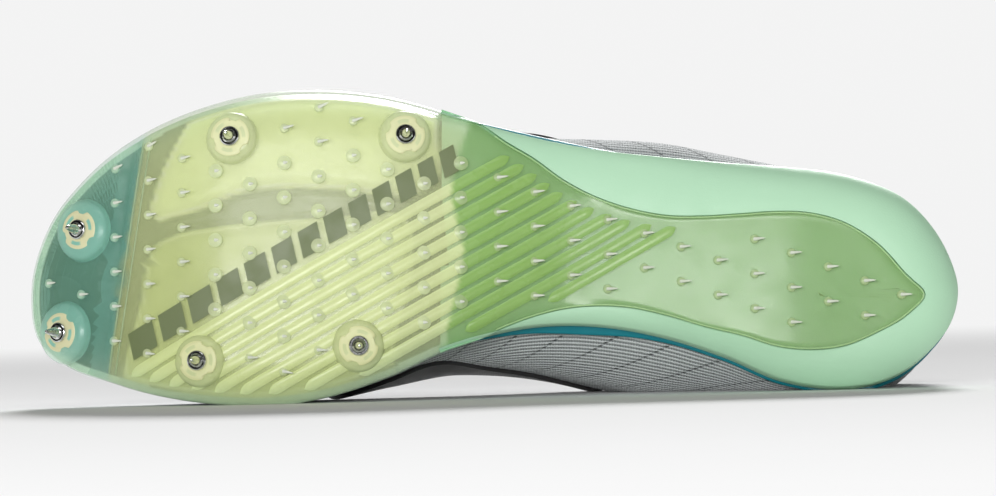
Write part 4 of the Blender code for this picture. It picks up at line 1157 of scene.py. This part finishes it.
def pin_places():
    """Plan places of the small pins, in columns across the sole."""
    places = []
    station = PIN_START
    for column in range(PIN_COLUMNS):
        for row in range(*PIN_ROWS):
            across = PIN_ROW_START + PIN_SHIFT * column + PIN_ROW_PITCH * row
            places.append((station, across))
        station += PIN_PITCH if column < PIN_FRONT_COLUMN else PIN_PITCH_FRONT
    plan = np.array(places)
    plan = plan[np.abs(plan[:, 1]) < BALL_WIDTH / 2]
    held = inside(plan, PLATE_EDGE) & (edge_distance(plan, PLATE_EDGE) > PIN_MARGIN)
    return plan[held & clear_of_bosses(plan, 0.0012)]


def make_pins(material, clear):
    """Small sharp pins raked towards the heel, each on its own round pad."""
    pads, needles = [], []
    for plan in pin_places():
        normal = plate_normal(plan)
        seat = Vector((*plan, float(plate_underside(plan[None])[0])))
        ribbed = RIBBED_ZONE[0] < plan[0] < RIBBED_ZONE[1] and abs(plan[1]) < RIBBED_ZONE[2]
        radius = PIN_PAD_WIDE if ribbed else PIN_PAD
        pad = [(0, -0.0003), (radius, -0.0003), (radius, 0.0003), (0.8 * radius, 0.00055), (0, 0.00062)]
        pads.append(turned_shape(pad, seat, normal, 14))
        rake = (normal + Vector((-PIN_RAKE, 0.35 * plan[1] / BALL_WIDTH, 0))).normalized()
        length = PIN_LENGTH_SHORT if ribbed else PIN_LENGTH
        needle = [(0, -0.0002), (0.00058, 0.0), (0.00046, 0.35 * length), (0.00026, 0.75 * length),
                  (0, length)]
        needles.append(turned_shape(needle, seat + normal * 0.0004, rake, 8))
    shape = joined(pads)
    add_piece("pin_pads", shape, material, tint=zone_tint(shape[0]) * 0.6 + PAD_MILK)
    add_piece("pin_needles", joined(needles), clear)


def make_print(material):
    """A plain printed row of slanting dashes beside the first rib, growing narrower to the back."""
    start, end = rib_ends(0)
    along = unit(end - start)
    side = np.array((along[1], -along[0]))
    shapes = []
    reach = DASH_START
    for dash in range(DASH_COUNT):
        width = DASH_WIDE + (DASH_NARROW - DASH_WIDE) * dash / (DASH_COUNT - 1)
        rows = []
        for across in np.linspace(DASH_LOW, DASH_HIGH, 9):
            spots = reach + DASH_SLANT * across + np.linspace(0, width, 5)
            plan = start + spots[:, None] * along + across * side
            rows.append(at_height(plan, plate_underside(plan) - DASH_LIFT))
        reach += width + DASH_GAP
        plan = np.vstack(rows)[:, :2]
        if (inside(plan, PLATE_EDGE) & (plan[:, 0] > CUSHION_START)).all():
            shapes.append(grid_shape(np.stack(rows)))
    add_piece("printed_dashes", joined(shapes), material)


def pod_plan(rows):
    corners = np.array([(x * LENGTH, y * BALL_WIDTH) for x, y in rows])
    return closed_spline(corners, 8)


def pod_depth(points, plan):
    """How far inside a pod's outline plan points lie, negative outside it."""
    away = edge_distance(points, plan)
    rim = edge_distance(points, PLATE_EDGE) - POD_MARGIN
    return np.where(inside(points, plan), np.minimum(away, rim), -away)


def make_cushions(material):
    """Both pods with the groove between them, as one moulded layer under the plate."""
    loops = [towards_spine(PLATE_EDGE, part) for part in CUSHION_PARTS]
    rings, tints = [], []
    for loop in loops[::-1]:
        lateral = pod_depth(loop, pod_plan(LATERAL_POD))
        medial = pod_depth(loop, pod_plan(MEDIAL_POD))
        deep = np.maximum(lateral, medial)
        shoulder = rolled(np.clip(deep, 0, None), POD_SHOULDER, POD_ROUND)
        sunk = POD_ROUND * 0.86 + np.clip(-deep / 0.0012, 0, 1) * POD_SINK
        level = plate_top(loop) + GAP + np.where(deep > 0, shoulder, sunk)
        roof = board_underside(loop[:, 0]) - GAP
        rings.append(at_height(loop, np.minimum(level, roof)))
        part = np.clip(deep / 0.0006, 0, 1)[:, None]
        is_lateral = (lateral > medial)[:, None]
        # The lateral pod gets the lighter tint and the medial pod the darker one: painted light from above
        colour = np.where(is_lateral, np.array(POD_LIT_LATERAL_TINT), np.array(POD_SHADED_MEDIAL_TINT))
        line = np.exp(-(((deep - CONTOUR_DEPTH) / CONTOUR_WIDTH) ** 2))[:, None]
        colour = colour + line * CONTOUR_LIGHTER
        at_rim = (edge_distance(loop, PLATE_EDGE) < 1.1 * POD_MARGIN)[:, None]
        around = np.where(at_rim, np.array(RIM_TINT), np.array(GROOVE_TINT))
        tints.append(around * (1 - part) + colour * part)
    for loop, tint in ((loops[0], RIM_TINT), (loops[-1], GROOVE_TINT)):
        rings.append(at_height(loop, board_underside(loop[:, 0]) - GAP))
        tints.append(np.tile(tint, (len(loop), 1)))
    points, faces = ring_shape(rings)
    middle = points[:, 0]
    faces = [face for face in faces if min(middle[corner] for corner in face) > CUSHION_START]
    add_piece("forefoot_cushions", (points, faces), material,
              ("air_pod_lateral", "air_pod_medial"), tint=np.vstack(tints))


def nearest_on(points, loop):
    """The nearest place on a closed loop to each plan point."""
    along = np.roll(loop, -1, axis=0) - loop
    found = []
    for point in points:
        part = np.clip(((point - loop) * along).sum(1) / (along**2).sum(1), 0, 1)
        spots = loop + part[:, None] * along
        found.append(spots[np.linalg.norm(spots - point, axis=1).argmin()])
    return np.array(found)


def make_foam(material):
    """Foam round the plate's tail, with its rounded flanks and the seat that the plate lies in."""
    edge = grown(FOOT_EDGE, -FOAM_INSET)
    seat = nearest_on(edge, grown(PLATE_EDGE, GAP))
    rings = [at_height(edge, board_underside(edge[:, 0]) - GAP)]
    for part in FLANK_PARTS:
        loop = edge + part * (seat - edge)
        rings.append(at_height(loop, foam_underside(loop)))
    for part in (0.0, 0.2, 0.7):
        loop = towards_spine(seat, part)
        rings.append(at_height(loop, plate_top(loop) + GAP))
    points, faces = ring_shape(rings)
    faces = [face for face in faces if max(points[corner][0] for corner in face) < FOAM_FRONT + 0.004]
    add_piece("foam_skin", (points, faces), material, ("midsole_foam",), sharp=60)


def make_board(material):
    margin = grown(FOOT_EDGE, -LASTING_MARGIN)
    loops = [board_edge(), grown(board_edge(), -0.0004), grown(FOOT_EDGE, -FEATHER_INSET), margin,
             towards_spine(margin, 0.6)]
    below = [at_height(loop, board_underside(loop[:, 0])) for loop in (loops[-1], loops[1])]
    edge = at_height(loops[0], board_underside(loops[0][:, 0]) + 0.0004)
    edge_top = at_height(loops[0], board_top(loops[0][:, 0]) - 0.0004)
    above = [at_height(loop, board_top(loop[:, 0])) for loop in loops[1:]]
    add_piece("board_skin", ring_shape(below + [edge, edge_top] + above), material, ("board",))


def make_insole(material):
    """The insole, on the upper's lasting margin, with a rounded edge."""
    seat = BOARD_SEAT + UPPER_WALL + BOARD_SEAT
    edge = grown(FOOT_EDGE, -INSOLE_INSET)
    rings = []
    for inward, rise in ((0.004, 0.0), (0.0004, 0.0), (0.0, 0.0006), (0.0, 0.0026), (0.0005, 0.0033),
                         (0.0014, 0.0035), (0.006, 0.0033)):
        loop = grown(edge, -inward)
        rings.append(at_height(loop, board_top(loop[:, 0]) + seat + rise))
    middle = towards_spine(grown(edge, -0.006), 0.5)
    rings.append(at_height(middle, board_top(middle[:, 0]) + seat + 0.0028))
    low = towards_spine(grown(edge, -0.004), 0.5)
    rings.insert(0, at_height(low, board_top(low[:, 0]) + seat))
    piece = add_piece("insole_pad", ring_shape(rings), material, ("insole",))


# Upper

def fit_map(*grids):
    """Distances along the foot and up the wall, for each point of these grids."""
    maps = []
    for grid in grids:
        climbed = np.cumsum(np.linalg.norm(np.diff(grid, axis=1), axis=2), axis=1)
        up = np.concatenate([np.zeros((len(grid), 1)), climbed], axis=1)
        maps.append(np.stack([grid[..., 0], up], axis=2).reshape(-1, 2))
    return np.vstack(maps)


def make_upper(material):
    """One knitted shell, open at collar and throat, whose foot turns under as a lasting margin."""
    skin = upper_skin(all_lines(FINE_HEIGHTS))
    turned_in = grown(FOOT_EDGE, -LASTING_MARGIN)
    margin = at_height(turned_in, board_top(turned_in[:, 0]) + BOARD_SEAT)[:, None]
    outer = np.concatenate([margin, skin], axis=1)
    normals = grid_normals(outer)
    inner = outer - UPPER_WALL * normals
    inner[:, 0] = outer[:, 0] + (0, 0, UPPER_WALL)
    fold = grown(FOOT_EDGE, -FEATHER_INSET - UPPER_WALL)
    inner[:, 1] = at_height(fold, outer[:, 1, 2] + UPPER_WALL)
    shape = shell_shape(inner, outer, closed=True)
    add_piece("knit_upper", shape, material, ("upper",), uv=fit_map(inner, outer), sharp=60)
    return shape


def make_binding(material):
    """A rounded black binding over the edge of the collar."""
    skin = upper_skin(all_lines((0.992, 1.0)))
    normals = grid_normals(upper_skin(all_lines(FINE_HEIGHTS)))[:, -1]
    path = skin[:, 1] - UPPER_WALL / 2 * normals
    lines = np.flatnonzero(FOOT_SHARE < BINDING_END)
    order = np.concatenate([lines[lines > SIDE_STEPS], lines[lines <= SIDE_STEPS]])
    shape = tube_shape(path[order], UPPER_WALL / 2 + 0.0005, 12, closed=False)
    add_piece("collar_binding", shape, material, uv=shape[0][:, :2])


def make_overlay(material):
    start = smooth_value(OVERLAY_EDGE, 1, FOOT_SHARE)
    start = np.where(LATERAL_SIDE, np.maximum(start, OVERLAY_LATERAL_START), start)[:, None]
    heights = np.clip(all_lines(FINE_HEIGHTS), start, OVERLAY_TOP)
    skin = upper_skin(heights)
    known = grid_normals(upper_skin(all_lines(FINE_HEIGHTS)))
    normals = np.empty_like(skin)
    for line, axis in np.ndindex(len(skin), 3):
        normals[line, :, axis] = np.interp(heights[line], FINE_HEIGHTS, known[line, :, axis])
    lines = overlay_lines()
    low = (skin + OVERLAY_LIFT * normals)[lines]
    high = (skin + (OVERLAY_SEAT + OVERLAY_THICKNESS) * normals)[lines]
    shape = shell_shape(low, high)
    add_piece("throat_film", shape, material, ("throat_overlay",), uv=fit_map(low, high))
    return shape


def make_tongue(material):
    depth = UPPER_WALL + TONGUE_CLEARANCE
    outer_lateral, outer_medial = throat_rows(TONGUE_OVERLAP, -depth)
    lateral, medial = throat_rows(1.0, -depth)
    columns = [outer_lateral, outer_lateral * 0.5 + lateral * 0.5]
    for part in np.linspace(0, 1, 21):
        columns.append(arched(lateral, medial, part, TONGUE_RISE))
    columns += [outer_medial * 0.5 + medial * 0.5, outer_medial]
    top = np.stack(columns, axis=1)[::2]
    last = top[-1:]
    for part in (0.35, 0.7, 0.92, 1.0):
        reach = (TONGUE_TOP[0] * part, 0, TONGUE_TOP[1] * math.sin(part * math.pi / 2))
        taper = TONGUE_TAPER * part * (last.mean(axis=1, keepdims=True) - last) * (0, 1, 0)
        top = np.concatenate([top, last + reach + taper])
    normal = unit(np.cross(np.gradient(top, axis=1), np.gradient(top, axis=0)))
    normal *= np.sign(normal[..., 2:])
    puff = np.linspace(-1, 1, top.shape[1])[None, :, None]
    full = 1 - 0.5 * np.abs(puff) ** 4
    shape = shell_shape(top - TONGUE_THICKNESS * normal * full, top)
    side = np.linspace(0, 1, top.shape[1])[None, :] * np.ones((len(top), 1)) * 0.06
    uv = np.stack([side, top[..., 0]], axis=2).reshape(-1, 2)
    piece = add_piece("tongue_pad", shape, material, ("tongue",), uv=np.vstack([uv, uv]))
    return shape


def lace_strip(start, end, height, lift):
    """A flat woven band drawn tight over the throat, whose ends go down into the eyelets."""
    along = (end - start)[:2] / np.linalg.norm((end - start)[:2])
    side = np.array((-along[1], along[0])) * LACE_WIDTH / 2
    parts = np.linspace(0, 1, LACE_SECTIONS)
    lines = []
    for across in np.linspace(-1, 1, 5):
        path = start[:2] + np.outer(parts, (end - start)[:2]) + across * side
        heights = np.array([height(point) for point in path])
        known = ~np.isnan(heights)
        top = taut(parts, np.interp(parts, parts[known], heights[known])) + lift
        round_over = 0.0002 * (1 - across**2)
        lines.append(at_height(path, top + round_over))
    top = np.stack(lines, axis=1)
    dip = 0.0016 * np.exp(-parts * 40) + 0.0016 * np.exp(-(1 - parts) * 40)
    top[:, :, 2] -= dip[:, None]
    low = top - (0, 0, LACE_THICKNESS)
    return shell_shape(low, top)


def make_lace(material, eyelet_material, solids):
    """Crossed runs from eyelet to eyelet, and the eyelets that they go through."""
    height = top_of(solids)
    lateral, medial = throat_rows(EYELET_LINE, OVERLAY_SEAT + OVERLAY_THICKNESS)
    rows = np.linspace(LACE_FIRST_ROW * LINE_RATIO, len(lateral) - LACE_LAST_ROW * LINE_RATIO, LACE_RUNS + 1)
    rows = rows.round().astype(int)
    shapes = [lace_strip(lateral[rows[0]], medial[rows[0]], height, 0.0018)]
    for run in range(LACE_RUNS):
        low, high = rows[run], rows[run + 1]
        shapes.append(lace_strip(lateral[low], medial[high], height, 0.0018))
        shapes.append(lace_strip(medial[low], lateral[high], height, 0.0028))
    add_piece("laces", joined(shapes), material, ("lace",))
    rings = []
    angles = 2 * math.pi * np.arange(EYELET_STEPS) / EYELET_STEPS
    for side in (lateral, medial):
        for row in rows:
            centre = side[row]
            lean = unit(side[min(row + 2, len(side) - 1)] - side[max(row - 2, 0)])
            across = unit(np.cross(lean, (0, 0, 1.0)))
            across += (0, 0, -EYELET_SLOPE * np.sign(centre[1]) * np.sign(across[1]))
            circle_path = np.outer(np.cos(angles), lean) + np.outer(np.sin(angles), across)
            path = centre + (0, 0, 0.0002) + EYELET_RADIUS * circle_path
            rings.append(tube_shape(path, 0.0005, 8))
    shape = joined(rings)
    add_piece("eyelet_rings", shape, eyelet_material, uv=shape[0][:, :2])


# Studio

def make_floor():
    """A seamless pale floor that curves up behind the shoe and glows evenly away from it."""
    path = [(FLOOR_FRONT, 0.0)]
    for step in range(SWEEP_STEPS + 1):
        angle = math.pi / 2 * step / SWEEP_STEPS
        path.append((SWEEP_START + SWEEP_RADIUS * math.sin(angle), SWEEP_RADIUS * (1 - math.cos(angle))))
    path.append((SWEEP_START + SWEEP_RADIUS, WALL_TOP))
    points, faces = grid_shape(np.array([[(FLOOR_REACH, y, z), (-FLOOR_REACH, y, z)] for y, z in path]))
    mesh = bpy.data.meshes.new("floor")
    mesh.from_pydata(points.tolist(), [], faces)
    mesh.shade_smooth()
    material, tree, shader = new_material("floor", 0.8, Specular_IOR_Level=0.0,
                                          Emission_Color=(1.0, 1.0, 1.0, 1.0))
    place = object_place(tree)
    away = put(tree, "ShaderNodeVectorMath", {0: place}, operation="LENGTH").outputs["Value"]
    far = step_up(tree, away, GLOW_START, GLOW_FULL)
    shade = blend_colours(tree, noise(tree, place, 2.0), FLOOR_DARK, FLOOR_LIGHT)
    link(tree, blend_colours(tree, far, shade, (0.0, 0.0, 0.0)), shader, "Base Color")
    link(tree, calc(tree, "MULTIPLY", far, FAR_GLOW), shader, "Emission Strength")
    mesh.materials.append(material)
    linked("floor", mesh)


def add_light(name, place, aim, width, depth, power):
    light = bpy.data.lights.new(name, "AREA")
    light.shape = "RECTANGLE"
    light.energy = power
    light.size = width
    light.size_y = depth
    obj = linked(name, light)
    obj.location = place
    obj.rotation_euler = (Vector(aim) - Vector(place)).to_track_quat("-Z", "Y").to_euler()
    obj.visible_camera = False


def make_camera():
    """A level camera far in front of the sole, rolled with the shoe."""
    camera = bpy.data.cameras.new("camera")
    camera.lens = FOCAL_LENGTH
    camera.sensor_width = 36.0
    camera.clip_end = 20.0
    obj = linked("camera", camera)
    aim = world([IMAGE_CENTRE])[0]
    level = Matrix(((1, 0, 0), (0, 0, -1), (0, 1, 0)))
    turn = (Matrix.Rotation(REST_ROLL, 3, "Y") @ level).to_4x4()
    obj.matrix_world = Matrix.Translation((aim[0], CAMERA_Y, aim[2])) @ turn
    bpy.context.scene.camera = obj


def make_studio():
    make_floor()
    make_camera()
    scene = bpy.context.scene
    scene.view_settings.view_transform = "Standard"
    world_light = bpy.data.worlds.new("studio")
    world_light.use_nodes = True
    sky = world_light.node_tree.nodes["Background"]
    sky.inputs["Color"].default_value = (1.0, 1.0, 1.0, 1.0)
    sky.inputs["Strength"].default_value = SKY_STRENGTH
    scene.world = world_light
    for light in SOFT_LIGHTS:
        add_light(*light)
    sun = bpy.data.lights.new("sun", "SUN")
    sun.energy = SUN_STRENGTH
    sun.angle = SUN_SPREAD
    linked("sun", sun).rotation_euler = SUN_TURN


def main():
    plate = moulded("plate_film", None, 0.05, 0.22, 700.0, 0.00004, Alpha=PLATE_ALPHA, IOR=1.5,
                    Coat_Weight=0.3, Coat_Roughness=0.1)
    raised = moulded("plate_relief", None, 0.04, 0.25, 900.0, 0.00004, Alpha=RELIEF_ALPHA)
    make_plate_skin(plate)
    make_rib_bars(raised)
    make_toe_lines(raised)
    make_tail_bead(raised)
    make_bosses(raised)
    make_pins(raised, moulded("needle", NEEDLE_TINT, 0.04, 0.25, 900.0, 0.00003, Alpha=0.85))
    make_washers(moulded("insert", None, 0.08, 0.45, 1500.0, 0.00005))
    make_spikes(steel_material())
    make_print(moulded("print", DASH_COLOUR, 0.06, 0.45, 1500.0, 0.00003))
    make_cushions(moulded("cushion_film", None, 0.06, 0.28, 500.0, 0.00006))
    make_foam(moulded("foam", FOAM_COLOUR, 0.03, 0.5, 1800.0, 0.00005))
    make_board(moulded("board", BOARD_COLOUR, 0.08, 0.35, 1400.0, 0.00004))
    # The knit is white. Its light colour is greyed a little as painted shade for the shaded medial wall
    shade_greyed_white = knit("knit", srgb(206, 210, 210), srgb(120, 125, 126), Sheen_Weight=0.2)
    film = overlay_material()
    make_insole(woven("insole_cloth", (0.03, 0.03, 0.035), (0.012, 0.012, 0.014), 0.0011))
    upper = make_upper(shade_greyed_white)
    make_binding(film)
    overlay = make_overlay(film)
    tongue = make_tongue(knit("tongue_knit", srgb(232, 236, 236), srgb(185, 190, 191), seams=False,
                              Sheen_Weight=0.2))
    cord = woven("lace_weave", srgb(238, 240, 240), srgb(180, 184, 184), 0.0009)
    make_lace(cord, film, [upper, tongue, overlay])
    make_studio()


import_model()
main()
